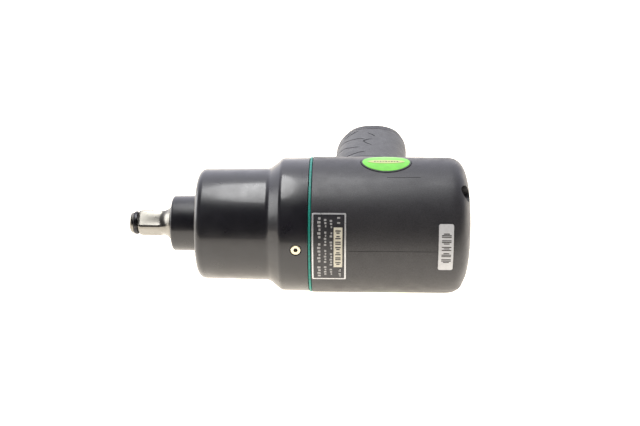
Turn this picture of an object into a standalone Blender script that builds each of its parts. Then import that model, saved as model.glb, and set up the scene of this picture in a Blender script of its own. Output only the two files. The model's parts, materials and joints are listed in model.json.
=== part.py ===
"""Half-inch pneumatic impact wrench with a twin-hammer mechanism, lying on its left side.

The tool is modelled in its own axes, in millimetres: X runs along the motor axis with the
square drive at -X, +Y points down the handle and +Z to the right-hand side. Every piece
hangs on one empty, which scales nothing, turns the tool onto its left side and puts the
middle of its underside on the world origin. Angles about the motor axis are counted in
degrees from the top of the tool, positive toward its right-hand side.
"""

import math

import bmesh
import bpy
import numpy as np
from mathutils import Matrix, Vector

MM = 0.001
GAP = 0.3  # between pieces that touch on the real tool
SIDES = 40  # around the large turned shells
FINE_SIDES = 24
SMALL_SIDES = 16
TINY_SIDES = 10
SHARP_ANGLE = math.radians(35)

# How the tool lies: the barrel and the butt of the handle touch the ground together.
REST_TILT = math.radians(9.1)

# Square drive and anvil
DRIVE_SQUARE = 12.7
DRIVE_CORNER_RADIUS = 8.2
DRIVE_FLAT_ANGLE = 47.0
ANVIL_TIP_X = -113.5
RING_GROOVE = (-110.9, -108.2)
FLARE_X = (-94.8, -87.9)
JOURNAL_RADIUS = 11.0
SHAFT_RADIUS = 9.5
JAW_RADIUS = 14.6
JAW_HALF_ANGLE = 28.0

# Hammer case
NOSE_X = -86.5
NOSE_RADIUS = 17.2
DRUM_X = -69.8
DRUM_RADIUS = 34.2
CONE_X = (-25.2, -17.8)
FLANGE_RADIUS = 41.4
CASE_REAR_X = -0.9
CASE_CAVITY_RADIUS = 30.2
CASE_CAVITY_X = -65.0
NOSE_BORE_RADIUS = 13.3
GREASE_PLUG_X = -8.0

# Hammers and their cage
CAGE_RADIUS = 29.0
CAGE_X = (-63.0, -21.0)
CAGE_PLATES = (-57.0, -28.0)
CAGE_HUB_X = -3.2
PIN_OFFSET = 23.0
PIN_RADIUS = 3.5
HAMMERS = {"hammer_front": (-56.5, -43.2, 1), "hammer_rear": (-42.8, -28.8, -1)}
HAMMER_RADIUS = 28.4
HAMMER_HALF_WIDTH = 20.3
HAMMER_OPENING = 16.6
HAMMER_LUG = 12.0

# Motor
PLATE_RADIUS = 29.9
FRONT_PLATE_X = (0.3, 10.0)
CYLINDER_X = (10.3, 50.0)
REAR_PLATE_X = (50.3, 60.2)
CYLINDER_BORE = 24.0
CYLINDER_OFFSET = 2.4
ROTOR_RADIUS = 21.2
ROTOR_X = (10.6, 49.7)
VANES = 6
VANE_THICKNESS = 1.7
VANE_RADII = (11.3, 20.9)
FRONT_JOURNAL = 7.7
REAR_JOURNAL = 5.7
DOWEL_ANGLE = 140.0
DOWEL_RADIUS = 1.5
DOWEL_PITCH = 26.5

# Motor housing
HOUSING_FRONT_X = 1.1
HOUSING_RADIUS = 42.2
DOME_X = 80.0
DOME_LENGTH = 17.4
DOME_EXPONENT = 3.5
DOME_LAST_ANGLE = 67.9  # where the dome gives way to the rear opening
HOUSING_CAVITY_RADIUS = 30.5
HOUSING_CAVITY_X = 60.5
VALVE_BORE = 9.3
REAR_RECESS = (88.0, 24.0)
BOLT_PITCH_RADIUS = 35.5
BOLT_ANGLES = (54.0, 126.0, -126.0, -54.0)
BOLT_RADIUS = 2.5
BOLT_HEAD_RADIUS = 4.25
BOLT_SEAT_X = 83.0
BOLT_HEAD_HEIGHT = 5.0
BOLT_END_X = -17.5
BOLT_POCKET_RADIUS = 5.0
BOLT_CLEARANCE = 0.35
REAR_CLEAR_X = 100.0  # beyond the rear of the tool, for cutters that open to it
SNAP_RING_GROOVE = (92.3, 93.7, 20.0, 24.9)
DETENT_HOLE = (80.0, 90.0, 1.9)

# Handle: distance below the motor axis, front edge, rear edge and half thickness
HANDLE_SECTIONS = (
    (33.0, 14.0, 79.0, 21.5),
    (39.3, 14.8, 74.5, 21.0),
    (46.0, 15.0, 69.0, 20.5),
    (52.0, 14.9, 64.5, 20.0),
    (62.0, 14.3, 60.0, 19.5),
    (70.0, 13.6, 58.8, 19.2),
    (78.0, 12.8, 58.7, 19.0),
    (90.0, 11.2, 59.8, 19.0),
    (105.0, 12.0, 61.6, 19.0),
    (120.0, 13.2, 63.3, 19.0),
    (135.0, 13.8, 64.6, 19.0),
    (143.0, 15.4, 64.5, 19.0),
    (148.0, 17.6, 63.4, 19.0),
)
HANDLE_EXPONENT = 2.5
HANDLE_POINTS = 28
GRIP_Y = (78.0, 141.0)
GRIP_THICKNESS = 2.0
CORE_END_Y = 143.0
CAP_END_Y = 151.0

# Air passages in the handle
INLET_X = 34.0
INLET_RADIUS = 8.7
INLET_TOP_Y = 41.0
EXHAUST_X = (45.5, 53.0)
EXHAUST_Z = (-8.0, 0.0)
SUPPLY_RADIUS = 3.0
SUPPLY_Z = 5.0
SUPPLY_Y = 44.0
SUPPLY_X = 66.0

# Trigger and throttle
TRIGGER_Y = 58.0
TRIGGER_PIN_Y = 70.0
TRIGGER_HALF_WIDTH = 8.0
TRIGGER_BACK_X = 14.7
TRIGGER_RECESS_X = 20.0
STEM_RADIUS = 2.5
STEM_X = (8.3, 31.6)
SEAT_Y = (74.0, 77.5)
VALVE_DISC_RADIUS = 7.2
VALVE_DISC_Y = (77.8, 81.0)
VALVE_STEM_TOP_Y = 56.0

# Inlet fitting
BUSHING_RADIUS = 8.3
BUSHING_BORE = 5.7
BUSHING_Y = (118.0, 158.0)
BUSHING_HEX_Y = 151.4
BUSHING_ACROSS_FLATS = 22.0

# Regulator at the rear
KNOB_RADIUS = 16.0
KNOB_X = (92.3, 97.0)
DETENT_PITCH = 13.0

# Badges and labels: centre along the barrel, angle, length along the barrel, arc width
BADGE = (45.7, 85.7, 30.5, 23.0)
RATING_LABEL = (11.7, 1.5, 20.2, 43.4)
SERIAL_STICKER = (80.6, 3.4, 8.7, 28.8)

FINISHES = {
    "black_enamel": ((0.012, 0.012, 0.016), 0.28, 0.0),
    "composite": ((0.045, 0.046, 0.05), 0.55, 0.0),
    "grip_rubber": ((0.16, 0.16, 0.165), 0.75, 0.0),
    "dark_composite": ((0.05, 0.05, 0.052), 0.6, 0.0),
    "teal_gasket": ((0.01, 0.22, 0.18), 0.6, 0.0),
    "drive_steel": ((0.55, 0.53, 0.48), 0.25, 1.0),
    "black_steel": ((0.03, 0.03, 0.032), 0.35, 1.0),
    "machined_steel": ((0.42, 0.42, 0.43), 0.35, 1.0),
    "cast_aluminium": ((0.6, 0.61, 0.62), 0.5, 1.0),
    "bronze": ((0.5, 0.3, 0.13), 0.4, 1.0),
    "brass": ((0.7, 0.6, 0.36), 0.35, 1.0),
    "zinc_steel": ((0.6, 0.6, 0.6), 0.3, 1.0),
    "phenolic": ((0.2, 0.1, 0.04), 0.6, 0.0),
    "black_rubber": ((0.015, 0.015, 0.015), 0.7, 0.0),
    "felt": ((0.35, 0.34, 0.3), 0.95, 0.0),
    "green_badge": ((0.15, 0.6, 0.05), 0.3, 0.0),
    "label_film": ((0.08, 0.08, 0.09), 0.4, 0.0),
    "paper_sticker": ((0.7, 0.7, 0.72), 0.6, 0.0),
}


# ---------------------------------------------------------------- shapes


def polar(radius, degrees, x=0.0):
    """A point at this radius and angle about the motor axis."""
    angle = math.radians(degrees)
    return Vector((x, -radius * math.cos(angle), radius * math.sin(angle)))


def turned(profile, sides=SMALL_SIDES, ring=False):
    """Spins (x, radius) points about X. A ring's last point joins its first one."""
    bm = bmesh.new()
    points = [bm.verts.new((x, -radius, 0.0)) for x, radius in profile]
    pairs = list(zip(points, points[1:]))
    if ring:
        pairs.append((points[-1], points[0]))
    edges = [bm.edges.new(pair) for pair in pairs]
    bmesh.ops.spin(
        bm, geom=points + edges, axis=(1, 0, 0), angle=math.tau, steps=sides, use_merge=True
    )
    bmesh.ops.remove_doubles(bm, verts=bm.verts, dist=1e-5)
    bmesh.ops.recalc_face_normals(bm, faces=bm.faces)
    return bm


def tube(low, high, inner, outer, sides=SMALL_SIDES):
    """A plain sleeve about X."""
    return turned([(low, inner), (low, outer), (high, outer), (high, inner)], sides, ring=True)


def rod(low, high, radius, sides=SMALL_SIDES):
    """A plain cylinder about X."""
    return turned([(low, 0.0), (low, radius), (high, radius), (high, 0.0)], sides)


def lofted(sections):
    """Joins rings of points, with as many points each, and closes both ends."""
    bm = bmesh.new()
    rings = [[bm.verts.new(point) for point in section] for section in sections]
    for ring, following in zip(rings, rings[1:]):
        for k in range(len(ring)):
            bm.faces.new((ring[k - 1], ring[k], following[k], following[k - 1]))
    bm.faces.new(rings[0])
    bm.faces.new(rings[-1])
    bmesh.ops.recalc_face_normals(bm, faces=bm.faces)
    return bm


def prism(outline, low, high):
    """A (y, z) outline drawn out along X."""
    return lofted([[Vector((x, y, z)) for y, z in outline] for x in (low, high)])


def block(low, high):
    """A box between two corners."""
    bm = bmesh.new()
    size = Vector(high) - Vector(low)
    middle = (Vector(high) + Vector(low)) / 2
    place = Matrix.Translation(middle) @ Matrix.Diagonal(size.to_4d())
    bmesh.ops.create_cube(bm, size=1.0, matrix=place)
    return bm


def coil(low, high, radii, wire, turns):
    """A helix of round wire about X, from the first radius to the second."""
    steps = round(turns * 8)
    sections = []
    for step in range(steps + 1):
        part = step / steps
        angle = math.tau * turns * part
        radius = radii[0] + (radii[1] - radii[0]) * part
        outward = Vector((0.0, math.cos(angle), math.sin(angle)))
        along = Vector((1.0, 0.0, 0.0))
        centre = outward * radius + along * (low + wire + (high - low - 2 * wire) * part)
        section = []
        for k in range(4):
            turn = math.tau * k / 4
            section.append(centre + wire * (outward * math.cos(turn) + along * math.sin(turn)))
        sections.append(section)
    return lofted(sections)


def wrapped(outline, x, degrees, low, high):
    """A plate between two radii, whose (along, arc) outline lies round the barrel."""
    scales = (1.0, 0.75, 0.5, 0.25)
    bm = bmesh.new()

    def point(along, arc, radius):
        return bm.verts.new(polar(radius, degrees + math.degrees(arc / HOUSING_RADIUS), x + along))

    skins = []
    for radius in (low, high):
        rings = [[point(u * s, v * s, radius) for u, v in outline] for s in scales]
        for ring, following in zip(rings, rings[1:]):
            for k in range(len(ring)):
                bm.faces.new((ring[k - 1], ring[k], following[k], following[k - 1]))
        centre = point(0.0, 0.0, radius)
        for k in range(len(outline)):
            bm.faces.new((rings[-1][k - 1], rings[-1][k], centre))
        skins.append(rings[0])
    for k in range(len(outline)):
        bm.faces.new((skins[0][k - 1], skins[0][k], skins[1][k], skins[1][k - 1]))
    bmesh.ops.recalc_face_normals(bm, faces=bm.faces)
    return bm


def oval(length, width, points=24):
    """A slightly squared ellipse."""
    outline = []
    for k in range(points):
        angle = math.tau * k / points
        outline.append((length / 2 * math.cos(angle), width / 2 * math.sin(angle)))
    return outline


def rounded_rectangle(length, width, corner, steps=5):
    """A rectangle with cut corners, its long sides divided so that it can follow a curve."""
    outline = []
    a = length / 2
    b = width / 2
    for sign in (1, -1):
        outline.append((sign * (a - corner), sign * -b))
        for k in range(steps + 1):
            outline.append((sign * a, sign * (-b + corner + (width - 2 * corner) * k / steps)))
        outline.append((sign * (a - corner), sign * b))
        outline.append((0.0, sign * b))
    return outline


def placed(bm, matrix):
    bmesh.ops.transform(bm, matrix=matrix, verts=bm.verts)
    return bm


def down(bm, x=INLET_X, z=0.0):
    """Turns a shape made about X so that it points down the handle."""
    return placed(bm, Matrix.Translation((x, 0, z)) @ Matrix.Rotation(math.pi / 2, 4, "Z"))


def shifted(bm, vector):
    return placed(bm, Matrix.Translation(vector))


def outward(bm, x, degrees):
    """Turns a shape made about X so that it points away from the motor axis."""
    turn = Matrix.Rotation(-math.radians(degrees), 4, "X")
    return placed(bm, Matrix.Translation((x, 0, 0)) @ turn @ Matrix.Rotation(-math.pi / 2, 4, "Z"))


# ---------------------------------------------------------------- objects


def clear_scene():
    for obj in list(bpy.data.objects):
        bpy.data.objects.remove(obj, do_unlink=True)


def make_axes():
    axes = bpy.data.objects.new("tool_axes", None)
    axes.rotation_euler = (-REST_TILT, 0.0, 0.0)
    bpy.context.scene.collection.objects.link(axes)
    return axes


def make_object(name, bm, pivot=(0.0, 0.0, 0.0)):
    """An object with its origin at the pivot, from a shape in millimetres."""
    bmesh.ops.translate(bm, verts=bm.verts, vec=-Vector(pivot))
    bmesh.ops.scale(bm, verts=bm.verts, vec=(MM, MM, MM))
    mesh = bpy.data.meshes.new(name)
    bm.to_mesh(mesh)
    bm.free()
    obj = bpy.data.objects.new(name, mesh)
    obj.location = Vector(pivot) * MM
    obj.parent = AXES
    bpy.context.scene.collection.objects.link(obj)
    return obj


def make_material(name, finish):
    colour, roughness, metallic = FINISHES[finish]
    material = bpy.data.materials.new(name)
    material.use_nodes = True
    shader = material.node_tree.nodes["Principled BSDF"]
    shader.inputs["Base Color"].default_value = (*colour, 1.0)
    shader.inputs["Roughness"].default_value = roughness
    shader.inputs["Metallic"].default_value = metallic
    material.diffuse_color = (*colour, 1.0)
    return material


def piece(name, bm, finish, pivot=(0.0, 0.0, 0.0)):
    obj = make_object(name, bm, pivot)
    obj.data.materials.append(make_material(name, finish))
    obj.data.shade_smooth()
    obj.data.set_sharp_from_angle(angle=SHARP_ANGLE)
    return obj


def combine(obj, shapes, operation):
    """Cuts shapes from an object, or fuses them on, with one Boolean over hidden helpers."""
    name = f"{obj.name}_{operation.lower()}"
    modifier = obj.modifiers.get(name)
    if modifier is None:
        modifier = obj.modifiers.new(name, "BOOLEAN")
        modifier.operation = operation
        modifier.operand_type = "COLLECTION"
        modifier.collection = bpy.data.collections.new(name)
        bpy.context.scene.collection.children.link(modifier.collection)
    for bm in shapes:
        helper = make_object(f"{name}_{len(modifier.collection.objects) + 1}", bm)
        bpy.context.scene.collection.objects.unlink(helper)
        modifier.collection.objects.link(helper)
        helper.hide_render = True
        helper.display_type = "WIRE"


def cut(obj, *shapes):
    combine(obj, shapes, "DIFFERENCE")


def fuse(obj, *shapes):
    combine(obj, shapes, "UNION")


# ---------------------------------------------------------------- drive and hammer case


def drive_section(x, half, limit, blend=0.0, round_radius=0.0):
    """A square with its corners cut to a radius, blended toward a circle."""
    flat_edge = math.degrees(math.acos(DRIVE_SQUARE / 2 / DRIVE_CORNER_RADIUS))
    section = []
    for quarter in range(4):
        for offset in (-flat_edge, -20.0, 0.0, 20.0, flat_edge, 45.0):
            angle = math.radians(offset)
            square = min(half / max(abs(math.cos(angle)), abs(math.sin(angle))), limit)
            radius = square + (round_radius - square) * blend
            section.append(polar(radius, DRIVE_FLAT_ANGLE + 90.0 * quarter + offset, x))
    return section


def make_anvil():
    half = DRIVE_SQUARE / 2
    sections = [
        drive_section(ANVIL_TIP_X, half, 4.9),
        drive_section(ANVIL_TIP_X + 0.4, half, 5.7),
        drive_section(ANVIL_TIP_X + 1.3, half, 6.3),
        drive_section(RING_GROOVE[0], half, 6.5, 1.0, 6.5),
        drive_section(RING_GROOVE[0], half, 5.4, 1.0, 5.4),
        drive_section(RING_GROOVE[1], half, 5.4, 1.0, 5.4),
        drive_section(RING_GROOVE[1], half - 0.3, 6.9),
        drive_section(RING_GROOVE[1] + 0.9, half, 8.0),
        drive_section(RING_GROOVE[1] + 1.8, half, DRIVE_CORNER_RADIUS),
    ]
    flare_steps = 4
    for step in range(flare_steps + 1):
        part = step / flare_steps
        x = FLARE_X[0] + (FLARE_X[1] - FLARE_X[0]) * part
        radius = 7.2 + 3.2 * part
        sections.append(drive_section(x, half, DRIVE_CORNER_RADIUS, part**0.8, radius))
    rounds = (
        (-86.6, JOURNAL_RADIUS),
        (-64.7, JOURNAL_RADIUS),
        (-64.7, 13.0),
        (-63.3, 13.0),
        (-63.3, SHAFT_RADIUS),
        (-28.6, SHAFT_RADIUS),
        (-28.6, 6.0),
        (-22.6, 6.0),
        (-22.2, 5.6),
    )
    for x, radius in rounds:
        sections.append(drive_section(x, half, radius, 1.0, radius))
    anvil = piece("anvil", lofted(sections), "drive_steel")
    for x_low, x_high, middle in ((-56.0, -43.5, 0.0), (-42.5, -29.0, 180.0)):
        fuse(anvil, jaw(x_low, x_high, middle))


def jaw(low, high, middle):
    """One striking jaw: a sector that stands out of the anvil's shaft."""
    outline = [polar(6.0, middle - 20.0), polar(6.0, middle + 20.0)]
    for k in range(5):
        angle = middle + JAW_HALF_ANGLE * (1 - k / 2)
        outline.append(polar(JAW_RADIUS, angle))
    return prism([(point.y, point.z) for point in outline], low, high)


def make_retainers():
    low, high = RING_GROOVE
    ring = piece(
        "socket_retaining_ring",
        tube(low + GAP, high - GAP, 6.4, 7.25, FINE_SIDES),
        "black_steel",
    )
    cut(ring, placed(block((-120, 5, -0.7), (-100, 9, 0.7)), Matrix.Rotation(0.6, 4, "X")))
    piece(
        "retainer_o_ring",
        tube(low + 0.5, high - 0.5, 5.7, 6.1, SMALL_SIDES),
        "black_rubber",
    )


def fillet(x, radius, size, start, steps=3):
    """Points of a quarter arc about (x, radius), from an angle in degrees, turning forward."""
    arc = []
    for k in range(steps + 1):
        angle = math.radians(start - 90.0 * k / steps)
        arc.append((x + size * math.cos(angle), radius + size * math.sin(angle)))
    return arc


def make_hammer_case():
    profile = [(NOSE_X, NOSE_BORE_RADIUS), (NOSE_X, NOSE_RADIUS - 2.0)]
    profile += [(NOSE_X + 0.5, NOSE_RADIUS - 0.8), (NOSE_X + 1.8, NOSE_RADIUS)]
    profile += [(DRUM_X - 0.6, NOSE_RADIUS + 0.4), (DRUM_X, NOSE_RADIUS + 1.0)]
    profile += fillet(DRUM_X + 5.0, DRUM_RADIUS - 5.0, 5.0, 180.0, 5)
    profile += [(CONE_X[0], DRUM_RADIUS + 0.8), (CONE_X[0] + 0.8, DRUM_RADIUS + 1.2)]
    profile += [(CONE_X[1] - 0.7, FLANGE_RADIUS - 0.4), (CONE_X[1] + 0.4, FLANGE_RADIUS)]
    profile += [(CASE_REAR_X, FLANGE_RADIUS + 0.2), (CASE_REAR_X, CASE_CAVITY_RADIUS)]
    profile += [(CASE_CAVITY_X + 2.0, CASE_CAVITY_RADIUS), (CASE_CAVITY_X, CASE_CAVITY_RADIUS - 2.0)]
    profile += [(CASE_CAVITY_X, NOSE_BORE_RADIUS)]
    case = piece("hammer_case", turned(profile, SIDES, ring=True), "black_enamel")
    for angle in BOLT_ANGLES:
        hole = rod(BOLT_END_X - 1.5, 0.0, BOLT_RADIUS + BOLT_CLEARANCE, TINY_SIDES)
        cut(case, shifted(hole, polar(BOLT_PITCH_RADIUS, angle)))
    cut(case, outward(rod(28.0, 45.0, 2.35, TINY_SIDES), GREASE_PLUG_X, 0.0))
    cut(case, outward(rod(38.4, 45.0, 3.5, SMALL_SIDES), GREASE_PLUG_X, 0.0))


def make_grease_plug():
    profile = [(31.0, 0.0), (31.0, 2.0), (38.8, 2.0), (38.8, 3.1), (40.6, 3.1)]
    profile += [(41.3, 2.5), (41.3, 1.4), (39.6, 1.4), (39.6, 0.0)]
    plug = outward(turned(profile, TINY_SIDES), GREASE_PLUG_X, 0.0)
    piece("grease_plug", plug, "brass", (GREASE_PLUG_X, 0.0, 0.0))


def make_nose_pieces():
    piece(
        "anvil_bushing",
        tube(-82.5, CASE_CAVITY_X - GAP, JOURNAL_RADIUS + 0.35, 13.0, FINE_SIDES),
        "bronze",
    )
    piece(
        "nose_seal",
        tube(NOSE_X + GAP, -82.8, JOURNAL_RADIUS + 0.35, 13.0, FINE_SIDES),
        "black_rubber",
    )


def make_gasket():
    low = CASE_REAR_X + GAP
    high = HOUSING_FRONT_X - GAP
    gasket = piece(
        "case_gasket", tube(low, high, 30.6, HOUSING_RADIUS - 0.4, SIDES), "teal_gasket"
    )
    for angle in BOLT_ANGLES:
        hole = rod(low - 1, high + 1, BOLT_RADIUS + 0.5, TINY_SIDES)
        cut(gasket, shifted(hole, polar(BOLT_PITCH_RADIUS, angle)))


# ---------------------------------------------------------------- twin hammers


def spline_outline(play):
    """Eight teeth on the rotor's shaft; play widens them for the hole that takes it."""
    outline = []
    slack = play * 9.0
    for tooth in range(8):
        middle = 45.0 * tooth
        for radius, offset in ((7.2, -7.0), (7.2, 7.0), (6.0, 12.0), (6.0, 33.0)):
            side = -slack if offset in (-7.0, 33.0) else slack
            point = polar(radius + play, middle + offset + side)
            outline.append((point.y, point.z))
    return outline


def make_cage():
    hub = [(CAGE_PLATES[1], 6.4), (CAGE_PLATES[1], CAGE_RADIUS), (CAGE_X[1], CAGE_RADIUS)]
    hub += [(CAGE_X[1], 12.5), (CAGE_HUB_X, 12.5), (CAGE_HUB_X, 6.4)]
    cage = piece("hammer_cage", turned(hub, FINE_SIDES, ring=True), "machined_steel")
    fuse(cage, tube(CAGE_X[0], CAGE_PLATES[0], 15.2, CAGE_RADIUS, FINE_SIDES))
    for middle in (0.0, 180.0):
        fuse(cage, cage_web(middle))
    for side in (-1, 1):
        hole = rod(CAGE_X[0] - 1, CAGE_X[1] + 1, PIN_RADIUS + 0.35, TINY_SIDES)
        cut(cage, shifted(hole, (0, 0, side * PIN_OFFSET)))
    cut(cage, prism(spline_outline(0.35), CAGE_X[1] - 0.6, CAGE_HUB_X + 1))


def cage_web(middle):
    """A curved bar that joins the cage's two plates."""
    half_angle = 22.0
    outline = []
    for radius, turn in ((CAGE_RADIUS - 0.05, 1), (CAGE_RADIUS - 2.8, -1)):
        for k in (-2, -1, 0, 1, 2):
            point = polar(radius, middle + turn * half_angle * k / 2)
            outline.append((point.y, point.z))
    return prism(outline, CAGE_PLATES[0] - 1.0, CAGE_PLATES[1] + 1.0)


def make_hammer(name, low, high, side):
    """A dog that swings on the pin at its own side, with a slot over the other pin."""
    pivot = (0.0, 0.0, side * PIN_OFFSET)
    hammer = piece(name, rod(low, high, HAMMER_RADIUS, FINE_SIDES), "machined_steel", pivot)
    for sign in (-1, 1):
        y_low, y_high = sorted((sign * HAMMER_HALF_WIDTH, sign * 40.0))
        cut(hammer, block((low - 1, y_low, -40.0), (high + 1, y_high, 40.0)))
    opening = []
    for k in range(24):
        angle = 15.0 * k
        from_lug = abs((angle - side * 90.0 + 180.0) % 360.0 - 180.0)
        radius = HAMMER_LUG if from_lug < 25.0 else HAMMER_OPENING
        point = polar(radius, angle)
        opening.append((point.y, point.z))
    cut(hammer, prism(opening, low - 1, high + 1))
    hole = rod(low - 1, high + 1, PIN_RADIUS + 0.35, TINY_SIDES)
    cut(hammer, shifted(hole, pivot))
    z_low, z_high = sorted((-side * 19.1, -side * 35.0))
    cut(hammer, block((low - 1, -7.4, z_low), (high + 1, 7.4, z_high)))


def make_hammer_pins():
    for number, side in ((1, 1), (2, -1)):
        pin = rod(CAGE_X[0] + GAP, CAGE_X[1] - GAP, PIN_RADIUS, TINY_SIDES)
        place = (0.0, 0.0, side * PIN_OFFSET)
        piece(f"hammer_pin_{number}", shifted(pin, place), "zinc_steel", place)


# ---------------------------------------------------------------- air motor


def make_bearing(name, x, bore, races, outer, balls):
    """Outer race, and inner race with its ball set, from x for a width of 8 mm."""
    width = 8.0
    middle = x + width / 2
    ball_pitch = (races[0] + races[1]) / 2
    ball = (races[1] - races[0]) / 2 + 0.35
    groove = races[1] + 0.75
    profile = [(x, races[1]), (x, outer), (x + width, outer), (x + width, races[1])]
    profile += [(middle + 2.2, races[1]), (middle + 1.5, groove)]
    profile += [(middle - 1.5, groove), (middle - 2.2, races[1])]
    piece(f"{name}_outer_race", turned(profile, FINE_SIDES, ring=True), "machined_steel")
    inner = piece(f"{name}_inner_race", tube(x, x + width, bore, races[0]), "machined_steel")
    for k in range(balls):
        bm = bmesh.new()
        bmesh.ops.create_uvsphere(bm, u_segments=6, v_segments=4, radius=ball)
        fuse(inner, shifted(bm, polar(ball_pitch, 360.0 * k / balls, middle)))


def make_end_plates():
    low, high = FRONT_PLATE_X
    profile = [(low, 14.3), (low, PLATE_RADIUS), (high, PLATE_RADIUS), (high, 8.4)]
    profile += [(high - 0.8, 8.4), (high - 0.8, 14.3)]
    front = piece("front_end_plate", turned(profile, FINE_SIDES, ring=True), "cast_aluminium")
    low, high = REAR_PLATE_X
    profile = [(low, 6.4), (low, PLATE_RADIUS), (high, PLATE_RADIUS), (high, 12.3)]
    profile += [(low + 0.8, 12.3), (low + 0.8, 6.4)]
    rear = piece("rear_end_plate", turned(profile, FINE_SIDES, ring=True), "cast_aluminium")
    for angle in (130.0, -130.0):
        port = rod(low - 1, high + 1, 2.4, TINY_SIDES)
        cut(rear, shifted(port, polar(19.0, angle)))
    for plate, reach in ((front, (5.0, 12.0)), (rear, (49.0, 56.0))):
        cut(plate, dowel_shape(reach[0], reach[1], DOWEL_RADIUS + 0.35))


def dowel_shape(low, high, radius):
    return shifted(rod(low, high, radius, TINY_SIDES), polar(DOWEL_PITCH, DOWEL_ANGLE))


def make_cylinder():
    low, high = CYLINDER_X
    cylinder = piece("motor_cylinder", rod(low, high, PLATE_RADIUS, SIDES), "machined_steel")
    bore = rod(low - 1, high + 1, CYLINDER_BORE, SIDES)
    cut(cylinder, shifted(bore, (0, -CYLINDER_OFFSET, 0)))
    cut(cylinder, dowel_shape(low - 1, high + 1, DOWEL_RADIUS + 0.35))
    port = block((EXHAUST_X[0], 15.0, EXHAUST_Z[0]), (high - 1.5, 35.0, EXHAUST_Z[1]))
    cut(cylinder, port)
    piece("cylinder_dowel", dowel_shape(5.3, 55.7, DOWEL_RADIUS), "zinc_steel")


def make_rotor():
    low, high = ROTOR_X
    profile = [(-1.0, 0.0), (-1.0, FRONT_JOURNAL), (low, FRONT_JOURNAL), (low, ROTOR_RADIUS)]
    profile += [(high, ROTOR_RADIUS), (high, REAR_JOURNAL), (59.8, REAR_JOURNAL), (59.8, 0.0)]
    rotor = piece("rotor", turned(profile, FINE_SIDES), "machined_steel")
    fuse(rotor, prism(spline_outline(0.0), -20.0, 0.0))
    slot_half = VANE_THICKNESS / 2 + GAP
    for number in range(VANES):
        angle = vane_angle(number)
        slot = block((low - 0.5, -25.0, -slot_half), (high + 0.5, -11.0, slot_half))
        cut(rotor, placed(slot, Matrix.Rotation(-angle, 4, "X")))
        inner, outer = VANE_RADII
        half = VANE_THICKNESS / 2
        vane = block((low + 0.2, -outer, -half), (high - 0.2, -inner, half))
        vane = placed(vane, Matrix.Rotation(-angle, 4, "X"))
        piece(f"vane_{number + 1}", vane, "phenolic")


def vane_angle(number):
    return math.radians(15.0 + 360.0 / VANES * number)


def make_spacer():
    spacer = tube(CAGE_HUB_X + GAP, 0.5, FRONT_JOURNAL + 0.35, 9.7)
    piece("rotor_spacer", spacer, "zinc_steel")


# ---------------------------------------------------------------- housing and handle


def dome_profile(steps=6):
    """The rounded rear of the barrel, as a superellipse from its side to its end."""
    points = []
    last = math.radians(DOME_LAST_ANGLE)
    for k in range(steps + 1):
        angle = last * k / steps
        x = DOME_X + DOME_LENGTH * math.sin(angle) ** (2 / DOME_EXPONENT)
        radius = HOUSING_RADIUS * math.cos(angle) ** (2 / DOME_EXPONENT)
        points.append((x, radius))
    return points


def handle_section(y, front, rear, half, inset=0.0):
    """A superellipse across the handle, drawn in by the inset."""
    middle = (front + rear) / 2
    a = (rear - front) / 2 - inset
    b = half - inset
    power = 2 / HANDLE_EXPONENT
    section = []
    for k in range(HANDLE_POINTS):
        angle = math.tau * k / HANDLE_POINTS
        c = math.cos(angle)
        s = math.sin(angle)
        x = middle + math.copysign(a * abs(c) ** power, c)
        z = math.copysign(b * abs(s) ** power, s)
        section.append(Vector((x, y, z)))
    return section


def handle_at(y):
    """Front edge, rear edge and half thickness of the handle at a distance down it."""
    heights = [row[0] for row in HANDLE_SECTIONS]
    return [float(np.interp(y, heights, [row[k] for row in HANDLE_SECTIONS])) for k in (1, 2, 3)]


def handle_loft(low, high, inset=0.0):
    """The handle between two distances down it, drawn in all round by the inset."""
    between = [row[0] for row in HANDLE_SECTIONS if low < row[0] < high]
    return [handle_section(y, *handle_at(y), inset) for y in (low, *between, high)]


def make_housing():
    front = HOUSING_FRONT_X
    profile = [(front, HOUSING_CAVITY_RADIUS), (front, HOUSING_RADIUS - 0.4)]
    profile += [(front + 0.4, HOUSING_RADIUS)]
    profile += dome_profile()
    profile += [(profile[-1][0], REAR_RECESS[1]), (REAR_RECESS[0], REAR_RECESS[1])]
    profile += [(REAR_RECESS[0], VALVE_BORE), (HOUSING_CAVITY_X, VALVE_BORE)]
    profile += [(HOUSING_CAVITY_X, HOUSING_CAVITY_RADIUS)]
    housing = piece("motor_housing", turned(profile, SIDES, ring=True), "composite")
    low, high = GRIP_Y
    inset = GRIP_THICKNESS + GAP
    core = handle_loft(HANDLE_SECTIONS[0][0], low) + handle_loft(low, high, inset)
    core += handle_loft(high, CORE_END_Y)
    fuse(housing, lofted(core))
    cut_air_passages(housing)
    cut_trigger_recess(housing)
    for angle in BOLT_ANGLES:
        place = polar(BOLT_PITCH_RADIUS, angle)
        hole = rod(-1.0, REAR_RECESS[0] + 2.0, BOLT_RADIUS + BOLT_CLEARANCE, TINY_SIDES)
        cut(housing, shifted(hole, place))
        pocket = rod(BOLT_SEAT_X, REAR_CLEAR_X, BOLT_POCKET_RADIUS, SMALL_SIDES)
        cut(housing, shifted(pocket, place))
    for side in (1, -1):
        x, angle, length, width = BADGE
        recess = wrapped(oval(length + 0.8, width + 0.8), x, side * angle, 41.2, 44.0)
        cut(housing, recess)
    cut(housing, tube(*SNAP_RING_GROOVE, SIDES))
    cut(housing, shifted(rod(*DETENT_HOLE, TINY_SIDES), (0, -DETENT_PITCH, 0)))


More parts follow.
